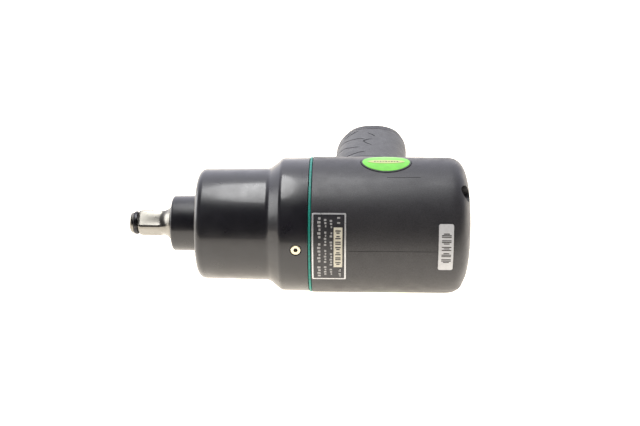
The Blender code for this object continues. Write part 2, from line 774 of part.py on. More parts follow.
def cut_air_passages(housing):
    cut(housing, down(rod(INLET_TOP_Y, 150.0, INLET_RADIUS, FINE_SIDES)))
    low = (EXHAUST_X[0], 20.0, EXHAUST_Z[0])
    cut(housing, block(low, (EXHAUST_X[1], 150.0, EXHAUST_Z[1])))
    along = rod(INLET_X, SUPPLY_X + 1.3, SUPPLY_RADIUS, TINY_SIDES)
    cut(housing, shifted(along, (0, SUPPLY_Y, SUPPLY_Z)))
    upward = rod(5.0, SUPPLY_Y + 2.3, SUPPLY_RADIUS + 0.15, TINY_SIDES)
    cut(housing, down(upward, SUPPLY_X, SUPPLY_Z))


def cut_trigger_recess(housing):
    half = TRIGGER_HALF_WIDTH + 0.6
    cut(housing, block((0.0, 46.2, -half), (TRIGGER_RECESS_X, 77.5, half)))
    cut(housing, shifted(rod(19.0, 27.0, 5.3, SMALL_SIDES), (0, TRIGGER_Y, 0)))
    cut(housing, shifted(rod(19.0, 24.1, 1.85, TINY_SIDES), (0, TRIGGER_PIN_Y, 0)))


def make_grip():
    low = GRIP_Y[0] + GAP
    high = GRIP_Y[1] - GAP
    grip = piece("handle_grip", lofted(handle_loft(low, high)), "grip_rubber")
    cut(grip, lofted(handle_loft(low - 1, high + 1, GRIP_THICKNESS)))


def make_exhaust_deflector():
    low = CORE_END_Y + GAP
    sections = [handle_section(low, *handle_at(low))]
    sections.append(handle_section(147.0, *handle_at(147.0)))
    for y, inset in ((149.2, 0.9), (150.4, 2.2), (CAP_END_Y, 4.0)):
        sections.append(handle_section(y, *handle_at(y), inset))
    cap = piece("exhaust_deflector", lofted(sections), "dark_composite")
    cut(cap, down(rod(140.0, 160.0, BUSHING_RADIUS + 0.4, 24)))
    cut(cap, block((45.0, 140.0, -11.0), (59.0, 147.3, 11.0)))
    for k in range(4):
        x = 46.2 + 3.3 * k
        cut(cap, block((x, 145.0, -8.5), (x + 1.8, 155.0, 8.5)))
    pad = block((45.4, CORE_END_Y + 0.4, -10.6), (58.6, 147.0, 10.6))
    piece("muffler_pad", pad, "felt")


def make_case_bolts():
    for number, angle in enumerate(BOLT_ANGLES, 1):
        seat = BOLT_SEAT_X + GAP
        top = seat + BOLT_HEAD_HEIGHT
        profile = [(BOLT_END_X, 0.0), (BOLT_END_X, 2.0), (BOLT_END_X + 0.6, BOLT_RADIUS)]
        profile += [(seat, BOLT_RADIUS), (seat, BOLT_HEAD_RADIUS), (top - 0.4, BOLT_HEAD_RADIUS)]
        profile += [(top, BOLT_HEAD_RADIUS - 0.4), (top, 0.0)]
        place = polar(BOLT_PITCH_RADIUS, angle)
        bolt = piece(
            f"case_bolt_{number}", shifted(turned(profile, TINY_SIDES), place), "zinc_steel", place
        )
        socket = rod(top - 2.6, top + 1.0, 2.3, 6)
        cut(bolt, shifted(socket, place))


# ---------------------------------------------------------------- regulator


def make_regulator():
    profile = [(88.3, 6.4), (88.3, 23.7), (91.6, 23.7), (92.0, 23.3), (92.0, 6.4)]
    cap = piece("valve_cap", turned(profile, SIDES, ring=True), "dark_composite")
    cut(cap, shifted(rod(88.0, 93.0, 1.9, TINY_SIDES), (0, -DETENT_PITCH, 0)))
    ring = piece("valve_cap_snap_ring", tube(92.55, 93.45, 22.4, 24.5, SIDES), "black_steel")
    cut(ring, block((90.0, 15.0, -4.0), (95.0, 30.0, 4.0)))
    profile = [(61.0, 0.0), (61.0, 8.6), (61.4, 9.0), (87.7, 9.0), (87.7, 6.0), (93.6, 6.0)]
    profile += [(93.6, 0.0)]
    valve = piece("reverse_valve", turned(profile), "machined_steel")
    cut(valve, block((62.5, 5.5, -10.0), (70.0, 12.0, 10.0)))
    cut(valve, rod(87.9, 95.0, 1.85, TINY_SIDES))
    make_knob()
    profile = [(88.2, 0.0), (88.2, 1.5), (95.5, 1.5), (95.5, 2.8), (96.7, 2.8), (96.7, 0.0)]
    screw = piece("knob_screw", turned(profile, TINY_SIDES), "zinc_steel")
    cut(screw, block((96.1, -0.5, -2.2), (97.5, 0.5, 2.2)))
    ball = bmesh.new()
    bmesh.ops.create_uvsphere(ball, u_segments=8, v_segments=6, radius=1.5)
    piece("detent_ball", shifted(ball, (91.2, -DETENT_PITCH, 0)), "zinc_steel")
    spring = coil(80.4, 89.3, (1.1, 1.1), 0.3, 4.5)
    piece("detent_spring", shifted(spring, (0, -DETENT_PITCH, 0)), "zinc_steel")


def make_knob():
    """A scalloped knob with a pointer rib, and a groove in its face over the detent ball."""
    sections = []
    for x, scale in ((KNOB_X[0], 0.97), (92.9, 1.0), (96.0, 1.0), (KNOB_X[1], 0.93)):
        section = []
        for k in range(30):
            angle = 12.0 * k
            scallop = 0.7 * math.cos(math.radians(6 * angle))
            section.append(polar((KNOB_RADIUS - 0.7 + scallop) * scale, angle, x))
        sections.append(section)
    knob = piece("regulator_knob", lofted(sections), "black_enamel")
    cut(knob, rod(90.0, 94.0, 6.35))
    cut(knob, rod(90.0, 99.0, 1.85, TINY_SIDES))
    cut(knob, rod(95.2, 99.0, 3.15, TINY_SIDES))
    cut(knob, tube(90.0, 93.2, DETENT_PITCH - 1.9, DETENT_PITCH + 1.6, FINE_SIDES))


# ---------------------------------------------------------------- trigger and throttle


def make_trigger():
    side = [(TRIGGER_BACK_X, 47.0), (-1.0, 47.0), (-4.0, 49.5), (-2.6, 55.0), (-2.0, 61.0)]
    side += [(-2.4, 67.0), (-3.6, 73.5), (-1.4, 77.0), (TRIGGER_BACK_X, 77.0)]
    half = TRIGGER_HALF_WIDTH
    shape = lofted([[Vector((x, y, z)) for x, y in side] for z in (-half, half)])
    trigger = piece("trigger", shape, "dark_composite", (TRIGGER_BACK_X, TRIGGER_Y, 0.0))
    bevel = trigger.modifiers.new("rounded_edges", "BEVEL")
    bevel.width = 1.4 * MM
    bevel.segments = 2
    bevel.limit_method = "ANGLE"
    bevel.angle_limit = math.radians(50)
    cut(trigger, shifted(rod(8.0, 20.0, STEM_RADIUS + 0.35, TINY_SIDES), (0, TRIGGER_Y, 0)))
    cut(trigger, shifted(rod(2.2, 20.0, 1.85, TINY_SIDES), (0, TRIGGER_PIN_Y, 0)))


def make_throttle():
    stem = shifted(rod(*STEM_X, STEM_RADIUS, TINY_SIDES), (0, TRIGGER_Y, 0))
    piece("trigger_stem", stem, "zinc_steel", (STEM_X[0], TRIGGER_Y, 0.0))
    pin = shifted(rod(8.5, 23.8, 1.5, TINY_SIDES), (0, TRIGGER_PIN_Y, 0))
    piece("trigger_guide_pin", pin, "zinc_steel")
    bushing = tube(TRIGGER_RECESS_X + 0.4, 25.1, STEM_RADIUS + 0.3, 5.0)
    piece("throttle_bushing", shifted(bushing, (0, TRIGGER_Y, 0)), "brass")
    piece("throttle_seat", down(tube(*SEAT_Y, 6.0, 8.3, 24)), "brass")
    hinge = (INLET_X - VALVE_DISC_RADIUS, VALVE_DISC_Y[0], 0.0)
    profile = [(VALVE_STEM_TOP_Y, 0.0), (VALVE_STEM_TOP_Y, 1.5), (VALVE_DISC_Y[0], 1.5)]
    profile += [(VALVE_DISC_Y[0], VALVE_DISC_RADIUS), (VALVE_DISC_Y[1], VALVE_DISC_RADIUS)]
    profile += [(VALVE_DISC_Y[1], 0.0)]
    piece("throttle_valve", down(turned(profile, SMALL_SIDES)), "zinc_steel", hinge)
    spring = coil(81.3, 89.5, (4.6, 3.0), 0.45, 3.5)
    piece("throttle_spring", down(spring), "zinc_steel", hinge)


def make_inlet():
    low, high = BUSHING_Y
    profile = [(low, BUSHING_BORE), (low, BUSHING_RADIUS), (124.0, BUSHING_RADIUS)]
    profile += [(124.0, 6.9), (126.4, 6.9), (126.4, BUSHING_RADIUS)]
    profile += [(BUSHING_HEX_Y + 1.0, BUSHING_RADIUS), (BUSHING_HEX_Y + 1.0, BUSHING_BORE)]
    bushing = piece("inlet_bushing", down(turned(profile, 24, ring=True)), "machined_steel")
    across_corners = BUSHING_ACROSS_FLATS / 2 / math.cos(math.pi / 6)
    fuse(bushing, down(tube(BUSHING_HEX_Y, high, BUSHING_BORE, across_corners, 6)))
    cut(bushing, down(rod(low - 1, high + 1, BUSHING_BORE + 0.02, 24)))
    piece("inlet_o_ring", down(tube(124.3, 126.1, 7.25, 8.35, 24)), "black_rubber")
    profile = [(100.0, 0.0), (100.0, 4.0), (112.0, 6.6), (112.0, 8.2), (113.2, 8.2)]
    profile += [(113.2, 5.8), (101.0, 3.2), (101.0, 0.0)]
    piece("inlet_screen", down(turned(profile)), "brass")


# ---------------------------------------------------------------- badges and labels


def make_trim():
    x, angle, length, width = BADGE
    right = wrapped(oval(length, width), x, angle, 41.6, 42.7)
    piece("side_badge_right", right, "green_badge")
    left = wrapped(oval(length, width), x, -angle, 41.6, 42.1)
    piece("side_badge_left", left, "green_badge")
    for name, (x, angle, length, width), finish in (
        ("rating_label", RATING_LABEL, "label_film"),
        ("serial_sticker", SERIAL_STICKER, "paper_sticker"),
    ):
        outline = rounded_rectangle(length, width, 0.8)
        plate = wrapped(outline, x, angle, HOUSING_RADIUS + 0.5, HOUSING_RADIUS + 0.8)
        piece(name, plate, finish)


# ---------------------------------------------------------------- assembly


def rest_on_origin():
    """Moves the tool so that the middle of its underside is at the world origin."""
    bpy.context.view_layer.update()
    graph = bpy.context.evaluated_depsgraph_get()
    lows = []
    highs = []
    for obj in AXES.children:
        if obj.hide_render:
            continue
        mesh = obj.evaluated_get(graph).to_mesh()
        points = np.empty(len(mesh.vertices) * 3)
        mesh.vertices.foreach_get("co", points)
        world = np.array(obj.matrix_world)
        points = points.reshape(-1, 3) @ world[:3, :3].T + world[:3, 3]
        lows.append(points.min(axis=0))
        highs.append(points.max(axis=0))
    low = np.min(lows, axis=0)
    high = np.max(highs, axis=0)
    AXES.location = (-(low[0] + high[0]) / 2, -(low[1] + high[1]) / 2, -low[2])


clear_scene()
AXES = make_axes()
make_anvil()
make_retainers()
make_hammer_case()
make_grease_plug()
make_nose_pieces()
make_gasket()
make_cage()
for hammer_name, hammer_place in HAMMERS.items():
    make_hammer(hammer_name, *hammer_place)
make_hammer_pins()
make_bearing("front_bearing", 0.8, 8.0, (9.7, 12.4), 14.0, 8)
make_bearing("rear_bearing", 51.4, 6.0, (7.6, 10.2), 12.0, 7)
make_end_plates()
make_cylinder()
make_rotor()
make_spacer()
make_housing()
make_grip()
make_exhaust_deflector()
make_case_bolts()
make_regulator()
make_trigger()
make_throttle()
make_inlet()
make_trim()
rest_on_origin()
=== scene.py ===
import json
import math

import bmesh
import bpy
import numpy as np
from mathutils import Matrix, Vector


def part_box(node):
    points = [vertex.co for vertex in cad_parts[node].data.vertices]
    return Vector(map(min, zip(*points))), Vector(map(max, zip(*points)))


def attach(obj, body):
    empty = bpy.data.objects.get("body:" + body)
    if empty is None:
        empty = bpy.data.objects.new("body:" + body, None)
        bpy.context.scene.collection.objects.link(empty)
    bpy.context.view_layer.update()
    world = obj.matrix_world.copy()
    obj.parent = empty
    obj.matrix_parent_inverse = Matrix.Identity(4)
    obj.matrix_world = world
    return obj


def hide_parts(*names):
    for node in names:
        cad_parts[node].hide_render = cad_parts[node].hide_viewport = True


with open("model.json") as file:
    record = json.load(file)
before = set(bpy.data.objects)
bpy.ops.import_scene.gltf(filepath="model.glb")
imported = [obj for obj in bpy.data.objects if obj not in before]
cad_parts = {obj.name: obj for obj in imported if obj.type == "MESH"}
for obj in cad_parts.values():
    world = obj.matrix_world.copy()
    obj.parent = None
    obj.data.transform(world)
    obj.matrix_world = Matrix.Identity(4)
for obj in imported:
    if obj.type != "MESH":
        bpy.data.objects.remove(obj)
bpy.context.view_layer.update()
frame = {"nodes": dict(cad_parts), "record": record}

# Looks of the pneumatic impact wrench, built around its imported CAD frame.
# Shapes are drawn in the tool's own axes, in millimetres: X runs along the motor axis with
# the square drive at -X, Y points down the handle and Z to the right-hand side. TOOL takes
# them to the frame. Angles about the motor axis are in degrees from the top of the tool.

MM = 0.001
GAP = 0.3  # between pieces that touch on the real tool

# Resolution of the finished meshes
ROUND_SIDES = 144
FINE_SIDES = 72
SMALL_SIDES = 36
ARC_STEPS = 6
SHARP_ANGLE = math.radians(32)

# Drive and hammer case
DRIVE_HALF = 6.35
DRIVE_CORNER_RADIUS = 8.2
DRIVE_FLAT_ANGLE = 47.0
ANVIL_TIP_X = -113.5
RING_GROOVE = (-110.9, -108.2)
FLARE_X = (-94.8, -87.9)
NOSE_X = -86.5
NOSE_RADIUS = 17.2
NOSE_BORE = 13.3
DRUM_X = -69.8
DRUM_RADIUS = 34.2
CONE_X = (-25.2, -17.8)
FLANGE_RADIUS = 41.4
CASE_REAR_X = -0.9
CASE_CAVITY = (-65.0, 30.2)
GREASE_PLUG_X = -8.0

# Motor housing and handle
HOUSING_FRONT_X = 1.1
HOUSING_RADIUS = 42.2
HOUSING_CAVITY = (60.5, 30.5)
DOME_X = 80.0
DOME_LENGTH = 17.4
DOME_EXPONENT = 3.5
DOME_LAST_ANGLE = 67.9
VALVE_BORE = 9.3
REAR_RECESS = (88.0, 24.0)
BOLT_PITCH_RADIUS = 35.5
BOLT_SEAT_X = 83.0
BOLT_ANGLES = (54.0, 126.0, -126.0, -54.0)
HANDLE_SECTIONS = (
    (33.0, 14.0, 79.0, 21.5),
    (39.3, 14.8, 74.5, 21.0),
    (46.0, 15.0, 69.0, 20.5),
    (52.0, 14.9, 64.5, 20.0),
    (62.0, 14.3, 60.0, 19.5),
    (70.0, 13.6, 58.8, 19.2),
    (78.0, 12.8, 58.7, 19.0),
    (90.0, 11.2, 59.8, 19.0),
    (105.0, 12.0, 61.6, 19.0),
    (120.0, 13.2, 63.3, 19.0),
    (135.0, 13.8, 64.6, 19.0),
    (143.0, 15.4, 64.5, 19.0),
    (148.0, 17.6, 63.4, 19.0),
)
HANDLE_EXPONENT = 2.5
HANDLE_POINTS = 120
GRIP_Y = (78.0, 141.0)
GRIP_THICKNESS = 2.0
CORE_END_Y = 143.0
CAP_END_Y = 151.0
INLET_X = 34.0
TRIGGER_Y = 58.0
TRIGGER_PIN_Y = 70.0
DETENT_PITCH = 13.0

# Fine mould seams on the barrel: angle, start and end along it
MOULD_SEAMS = ((0.0, 23.0, 78.0), (64.0, 46.0, 66.0), (-64.0, 46.0, 66.0))

# Grooves moulded into both sides of the grip, as (across, down) points on the handle
GRIP_GROOVES = (
    ((12.6, 86.0), (16.0, 81.5), (22.8, 83.3), (26.9, 85.0), (35.6, 88.4)),
    ((12.6, 99.0), (15.0, 101.5), (19.2, 102.6), (24.1, 99.3), (31.0, 98.0)),
    ((13.6, 113.0), (15.0, 117.0), (19.1, 119.8), (24.1, 118.1), (29.8, 117.9), (34.1, 115.6)),
    ((14.4, 126.0), (17.6, 133.4), (25.1, 136.8)),
    ((18.6, 127.0), (24.8, 132.7), (29.9, 138.0)),
    ((39.5, 117.1), (33.2, 112.0), (34.0, 108.6), (38.9, 101.9)),
    ((35.7, 132.3), (41.7, 121.6)),
)
GRIP_SLOT = ((52.6, 127.2), (56.9, 124.6))

# Badges and labels: centre along the barrel, angle, length along the barrel, arc width
BADGE = (45.7, 85.7, 30.5, 23.0)
RATING_LABEL = (11.7, 1.5, 20.2, 43.4)
SERIAL_STICKER = (80.6, 3.4, 8.7, 28.8)


# ---------------------------------------------------------------- tool axes


def tool_axes():
    """The matrix from tool millimetres to the frame, read from the CAD."""
    low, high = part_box("case_gasket")
    origin = (low + high) / 2
    origin.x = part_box("motor_housing")[0].x - HOUSING_FRONT_X * MM
    mounts = {mount["name"]: mount for mount in frame["record"]["mounts"]}
    downward = Vector(mounts["air_inlet"]["axis"]).normalized()
    right = Vector((1, 0, 0)).cross(downward)
    turn = Matrix((Vector((1, 0, 0)), downward, right)).transposed().to_4x4()
    return Matrix.Translation(origin) @ turn @ Matrix.Scale(MM, 4)


TOOL = tool_axes()


# ---------------------------------------------------------------- shapes, in tool millimetres


def polar(radius, degrees, x=0.0):
    """A point at this radius and angle about the motor axis."""
    angle = math.radians(degrees)
    return Vector((x, -radius * math.cos(angle), radius * math.sin(angle)))


def rounded(corners, closed=True):
    """An outline from (x, y, corner radius) rows, each corner drawn as an arc."""
    outline = []
    count = len(corners)
    for k, (x, y, size) in enumerate(corners):
        here = Vector((x, y))
        if size == 0 or (not closed and k in (0, count - 1)):
            outline.append((x, y))
            continue
        back = (Vector(corners[k - 1][:2]) - here).normalized()
        ahead = (Vector(corners[(k + 1) % count][:2]) - here).normalized()
        half = back.angle(ahead) / 2
        centre = here + (back + ahead).normalized() * size / math.sin(half)
        first = here + back * size / math.tan(half) - centre
        last = here + ahead * size / math.tan(half) - centre
        sweep = first.angle_signed(last)
        for step in range(ARC_STEPS + 1):
            turn = Matrix.Rotation(-sweep * step / ARC_STEPS, 2)
            point = centre + turn @ first
            outline.append((point.x, point.y))
    return outline


def lathe(profile, sides=FINE_SIDES, ring=False):
    """Spins (x, radius) points about X. A ring's last point joins its first one."""
    bm = bmesh.new()
    points = [bm.verts.new((x, -radius, 0.0)) for x, radius in profile]
    pairs = list(zip(points, points[1:]))
    if ring:
        pairs.append((points[-1], points[0]))
    edges = [bm.edges.new(pair) for pair in pairs]
    bmesh.ops.spin(
        bm, geom=points + edges, axis=(1, 0, 0), angle=math.tau, steps=sides, use_merge=True
    )
    bmesh.ops.remove_doubles(bm, verts=bm.verts, dist=1e-5)
    bmesh.ops.recalc_face_normals(bm, faces=bm.faces)
    return bm


def sleeve(low, high, inner, outer, edge=0.25, sides=FINE_SIDES):
    """A ring about X with rounded edges."""
    corners = [(low, inner, edge), (low, outer, edge), (high, outer, edge), (high, inner, edge)]
    return lathe(rounded(corners), sides, ring=True)


def rod(low, high, radius, edge=0.0, sides=SMALL_SIDES):
    """A solid cylinder about X with rounded ends."""
    corners = [(low, 0.0, 0.0), (low, radius, edge), (high, radius, edge), (high, 0.0, 0.0)]
    return lathe(rounded(corners, closed=False), sides)


def lofted(sections):
    """Joins rings of points, with as many points each, and closes both ends."""
    bm = bmesh.new()
    rings = [[bm.verts.new(point) for point in section] for section in sections]
    for ring, following in zip(rings, rings[1:]):
        for k in range(len(ring)):
            bm.faces.new((ring[k - 1], ring[k], following[k], following[k - 1]))
    bm.faces.new(rings[0])
    bm.faces.new(rings[-1])
    bmesh.ops.recalc_face_normals(bm, faces=bm.faces)
    return bm


def prism(outline, low, high):
    """A (y, z) outline drawn out along X."""
    return lofted([[Vector((x, y, z)) for y, z in outline] for x in (low, high)])


def block(low, high):
    """A box between two corners."""
    bm = bmesh.new()
    size = Vector(high) - Vector(low)
    middle = (Vector(high) + Vector(low)) / 2
    place = Matrix.Translation(middle) @ Matrix.Diagonal(size.to_4d())
    bmesh.ops.create_cube(bm, size=1.0, matrix=place)
    return bm


def placed(bm, matrix):
    bmesh.ops.transform(bm, matrix=matrix, verts=bm.verts)
    return bm


def shifted(bm, vector):
    return placed(bm, Matrix.Translation(vector))


def down(bm, x=INLET_X, z=0.0):
    """Turns a shape made about X so that it points down the handle."""
    return placed(bm, Matrix.Translation((x, 0, z)) @ Matrix.Rotation(math.pi / 2, 4, "Z"))


def outward(bm, x, degrees):
    """Turns a shape made about X so that it points away from the motor axis."""
    turn = Matrix.Rotation(-math.radians(degrees), 4, "X")
    return placed(bm, Matrix.Translation((x, 0, 0)) @ turn @ Matrix.Rotation(-math.pi / 2, 4, "Z"))


def wrapped(outline, x, degrees, low, high, crown=0.0, rings=8):
    """A plate between two radii, whose (along, arc) outline lies round the barrel."""
    bm = bmesh.new()

    def point(along, arc, radius):
        return bm.verts.new(polar(radius, degrees + math.degrees(arc / HOUSING_RADIUS), x + along))

    edges = []
    for radius, rise in ((low, 0.0), (high, crown)):
        skin = []
        for ring in range(rings):
            scale = 1 - ring / rings
            lift = rise * (1 - scale**4)
            skin.append([point(u * scale, v * scale, radius + lift) for u, v in outline])
        for ring, following in zip(skin, skin[1:]):
            for k in range(len(ring)):
                bm.faces.new((ring[k - 1], ring[k], following[k], following[k - 1]))
        centre = point(0.0, 0.0, radius + rise)
        for k in range(len(outline)):
            bm.faces.new((skin[-1][k - 1], skin[-1][k], centre))
        edges.append(skin[0])
    for k in range(len(outline)):
        bm.faces.new((edges[0][k - 1], edges[0][k], edges[1][k], edges[1][k - 1]))
    bmesh.ops.recalc_face_normals(bm, faces=bm.faces)
    return bm


def oval(length, width, points=96):
    outline = []
    for k in range(points):
        angle = math.tau * k / points
        outline.append((length / 2 * math.cos(angle), width / 2 * math.sin(angle)))
    return outline


def rectangle(length, width, corner=0.0, middle=(0.0, 0.0), step=1.5):
    """A rounded rectangle whose long sides are divided so that they can follow a curve."""
    a = length / 2
    b = width / 2
    corners = [(-a, -b, corner), (a, -b, corner), (a, b, corner), (-a, b, corner)]
    outline = []
    points = rounded(corners)
    for k, point in enumerate(points):
        following = Vector(points[(k + 1) % len(points)])
        start = Vector(point)
        parts = max(1, round((following - start).length / step))
        for part in range(parts):
            spot = start.lerp(following, part / parts)
            outline.append((spot.x + middle[0], spot.y + middle[1]))
    return outline


# ---------------------------------------------------------------- objects


def join(shapes):
    """One bmesh out of several."""
    whole = bmesh.new()
    for bm in shapes:
        mesh = bpy.data.meshes.new("part_of_a_join")
        bm.to_mesh(mesh)
        bm.free()
        whole.from_mesh(mesh)
        bpy.data.meshes.remove(mesh)
    return whole


def mesh_object(name, bm):
    mesh = bpy.data.meshes.new(name)
    bmesh.ops.transform(bm, matrix=TOOL, verts=bm.verts)
    bm.to_mesh(mesh)
    bm.free()
    obj = bpy.data.objects.new(name, mesh)
    bpy.context.scene.collection.objects.link(obj)
    return obj


def carve(obj, cutters=(), additions=()):
    """Fuses shapes onto an object and cuts others from it, for good."""
    helpers = []
    for operation, shapes in (("UNION", additions), ("DIFFERENCE", cutters)):
        for bm in shapes:
            helper = mesh_object(f"{obj.name}_helper", bm)
            modifier = obj.modifiers.new("shape", "BOOLEAN")
            modifier.operation = operation
            modifier.object = helper
            helpers.append(helper)
    graph = bpy.context.evaluated_depsgraph_get()
    mesh = bpy.data.meshes.new_from_object(obj.evaluated_get(graph))
    obj.modifiers.clear()
    rough = obj.data
    obj.data = mesh
    bpy.data.meshes.remove(rough)
    for helper in helpers:
        bpy.data.objects.remove(helper, do_unlink=True)


def soften(obj, width, segments=2, angle=40.0):
    """Rounds an object's edges by a width in millimetres."""
    bevel = obj.modifiers.new("soft_edges", "BEVEL")
    bevel.width = width * MM
    bevel.segments = segments
    bevel.limit_method = "ANGLE"
    bevel.angle_limit = math.radians(angle)
    bevel.use_clamp_overlap = True
    bevel.miter_outer = "MITER_ARC"


def piece(name, bm, material, body, slot, nodes=(), cutters=(), additions=(), edge=0.0):
    """A finished piece, riding on its body and standing for these CAD nodes."""
    obj = mesh_object(name, bm)
    if cutters or additions:
        carve(obj, cutters, additions)
    obj.data.materials.clear()
    obj.data.materials.append(material)
    obj.data.shade_smooth()
    obj.data.set_sharp_from_angle(angle=SHARP_ANGLE)
    if edge:
        soften(obj, edge)
    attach(obj, body)
    if nodes:
        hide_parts(*nodes)
    return obj


# ---------------------------------------------------------------- materials


class Surface:
    """Builds one node material step by step."""

    def __init__(self, name, colour, roughness, metallic=0.0, coat=0.0):
        self.material = bpy.data.materials.new(name)
        self.material.use_nodes = True
        self.tree = self.material.node_tree
        self.shader = self.tree.nodes["Principled BSDF"]
        self.shader.inputs["Metallic"].default_value = metallic
        self.shader.inputs["Coat Weight"].default_value = coat
        self.shader.inputs["Coat Roughness"].default_value = 0.12
        self.material.diffuse_color = (*colour, 1.0)
        self.place = self.tree.nodes.new("ShaderNodeTexCoord").outputs["Object"]
        self.colour = colour
        self.roughness = roughness
        self.height = None

    def noise(self, size, detail=4.0, stretch=(1.0, 1.0, 1.0)):
        """Noise whose grain is about this size, in millimetres."""
        mapping = self.tree.nodes.new("ShaderNodeMapping")
        mapping.inputs["Scale"].default_value = stretch
        self.tree.links.new(self.place, mapping.inputs["Vector"])
        node = self.tree.nodes.new("ShaderNodeTexNoise")
        node.inputs["Scale"].default_value = 1 / (size * MM)
        node.inputs["Detail"].default_value = detail
        self.tree.links.new(mapping.outputs["Vector"], node.inputs["Vector"])
        return node.outputs["Fac"]

    def ramp(self, factor, low, high, start=0.3, end=0.7):
        """A colour or grey ramp between two values over part of the factor's range."""
        node = self.tree.nodes.new("ShaderNodeValToRGB")
        for element, value, position in zip(node.color_ramp.elements, (low, high), (start, end)):
            element.position = position
            element.color = (value, value, value, 1.0) if isinstance(value, float) else (*value, 1.0)
        self.tree.links.new(factor, node.inputs["Fac"])
        return node.outputs["Color"]

    def mottle(self, size, spread, detail=4.0, stretch=(1.0, 1.0, 1.0)):
        """Colour that wanders around the base colour."""
        low = tuple(max(0.0, c * (1 - spread)) for c in self.colour)
        high = tuple(min(1.0, c * (1 + spread)) for c in self.colour)
        result = self.ramp(self.noise(size, detail, stretch), low, high)
        self.tree.links.new(result, self.shader.inputs["Base Color"])
        return self

    def smudged(self, size, spread):
        """Roughness that wanders, as on a handled surface."""
        low = max(0.02, self.roughness - spread)
        high = min(1.0, self.roughness + spread)
        result = self.ramp(self.noise(size), low, high)
        self.tree.links.new(result, self.shader.inputs["Roughness"])
        return self

    def grain(self, size, depth, stretch=(1.0, 1.0, 1.0), detail=3.0):
        """Bumps of this size and depth, in millimetres, over any made before."""
        bump = self.tree.nodes.new("ShaderNodeBump")
        bump.inputs["Distance"].default_value = depth * MM
        self.tree.links.new(self.noise(size, detail, stretch), bump.inputs["Height"])
        if self.height is not None:
            self.tree.links.new(self.height, bump.inputs["Normal"])
        self.height = bump.outputs["Normal"]
        self.tree.links.new(self.height, self.shader.inputs["Normal"])
        return self


def make_materials():
    turned = (1.0, 0.02, 0.02)
    made = {
        "case_enamel": Surface("case_enamel", (0.0105, 0.0105, 0.0135), 0.33, coat=0.35)
        .mottle(14, 0.25).smudged(9, 0.07).grain(1.6, 0.012).grain(0.35, 0.004),
        "housing_composite": Surface("housing_composite", (0.034, 0.0335, 0.037), 0.43)
        .mottle(0.5, 0.35).smudged(7, 0.06).grain(0.42, 0.035).grain(0.15, 0.01),
        "grip_rubber": Surface("grip_rubber", (0.105, 0.106, 0.11), 0.62)
        .mottle(0.7, 0.3).smudged(5, 0.08).grain(0.5, 0.05),
        "dark_composite": Surface("dark_composite", (0.055, 0.056, 0.058), 0.55)
        .mottle(0.6, 0.3).smudged(6, 0.06).grain(0.4, 0.03),
        "gasket": Surface("gasket", (0.006, 0.24, 0.19), 0.5)
        .mottle(1.2, 0.3).smudged(3, 0.1).grain(0.5, 0.03),
        "drive_steel": Surface("drive_steel", (0.235, 0.225, 0.2), 0.3, 1.0)
        .mottle(4, 0.05).smudged(2.5, 0.03).grain(0.9, 0.0006, (0.3, 1.0, 1.0)),
        "black_steel": Surface("black_steel", (0.045, 0.045, 0.048), 0.35, 1.0)
        .mottle(2, 0.3).smudged(1.5, 0.1).grain(0.3, 0.01, turned),
        "machined_steel": Surface("machined_steel", (0.45, 0.45, 0.46), 0.33, 1.0)
        .mottle(4, 0.12).smudged(2, 0.08).grain(0.25, 0.01, turned),
        "zinc_steel": Surface("zinc_steel", (0.36, 0.36, 0.35), 0.3, 1.0)
        .mottle(2, 0.12).smudged(1, 0.09).grain(0.3, 0.008),
        "cast_aluminium": Surface("cast_aluminium", (0.6, 0.61, 0.62), 0.48, 1.0)
        .mottle(2, 0.12).smudged(2, 0.08).grain(0.6, 0.05),
        "brass": Surface("brass", (0.9, 0.82, 0.6), 0.38, 0.7)
        .mottle(2, 0.15).smudged(1, 0.08).grain(0.3, 0.008),
        "black_rubber": Surface("black_rubber", (0.016, 0.016, 0.017), 0.65)
        .mottle(1, 0.3).smudged(2, 0.08).grain(0.4, 0.02),
        "vane_phenolic": Surface("vane_phenolic", (0.2, 0.1, 0.045), 0.55)
        .mottle(0.8, 0.35, 4, (0.2, 1, 1)).smudged(2, 0.06).grain(0.3, 0.02, (0.2, 1, 1)),
        "muffler_felt": Surface("muffler_felt", (0.35, 0.34, 0.3), 0.95)
        .mottle(0.8, 0.35).grain(0.5, 0.25),
        "badge": Surface("badge", (0.16, 0.64, 0.035), 0.42, coat=0.12)
        .mottle(5, 0.1).smudged(3, 0.05).grain(0.8, 0.006),
        "label_film": Surface("label_film", (0.03, 0.03, 0.034), 0.38)
        .mottle(1.5, 0.25).smudged(3, 0.07).grain(0.5, 0.01),
        "paper_sticker": Surface("paper_sticker", (0.63, 0.64, 0.66), 0.5)
        .mottle(2, 0.06).smudged(3, 0.08).grain(0.3, 0.01),
        "badge_rim": Surface("badge_rim", (0.012, 0.02, 0.014), 0.4, coat=0.1)
        .mottle(2, 0.3).smudged(2, 0.06).grain(0.5, 0.008),
        "badge_stripe": Surface("badge_stripe", (0.5, 0.54, 0.2), 0.45, coat=0.1)
        .mottle(2, 0.1).smudged(2, 0.05).grain(0.6, 0.006),
        "label_silver": Surface("label_silver", (0.62, 0.63, 0.64), 0.34, 0.35)
        .mottle(1.2, 0.12).smudged(2, 0.08).grain(0.4, 0.008),
        "label_print": Surface("label_print", (0.4, 0.4, 0.4), 0.45)
        .mottle(0.6, 0.25).smudged(2, 0.05),
        "label_window": Surface("label_window", (0.66, 0.63, 0.52), 0.45)
        .mottle(1.5, 0.08).smudged(2, 0.05),
        "sticker_print": Surface("sticker_print", (0.02, 0.02, 0.022), 0.5)
        .mottle(0.5, 0.3).smudged(2, 0.05),
    }
    return {name: surface.material for name, surface in made.items()}


FINISH = make_materials()


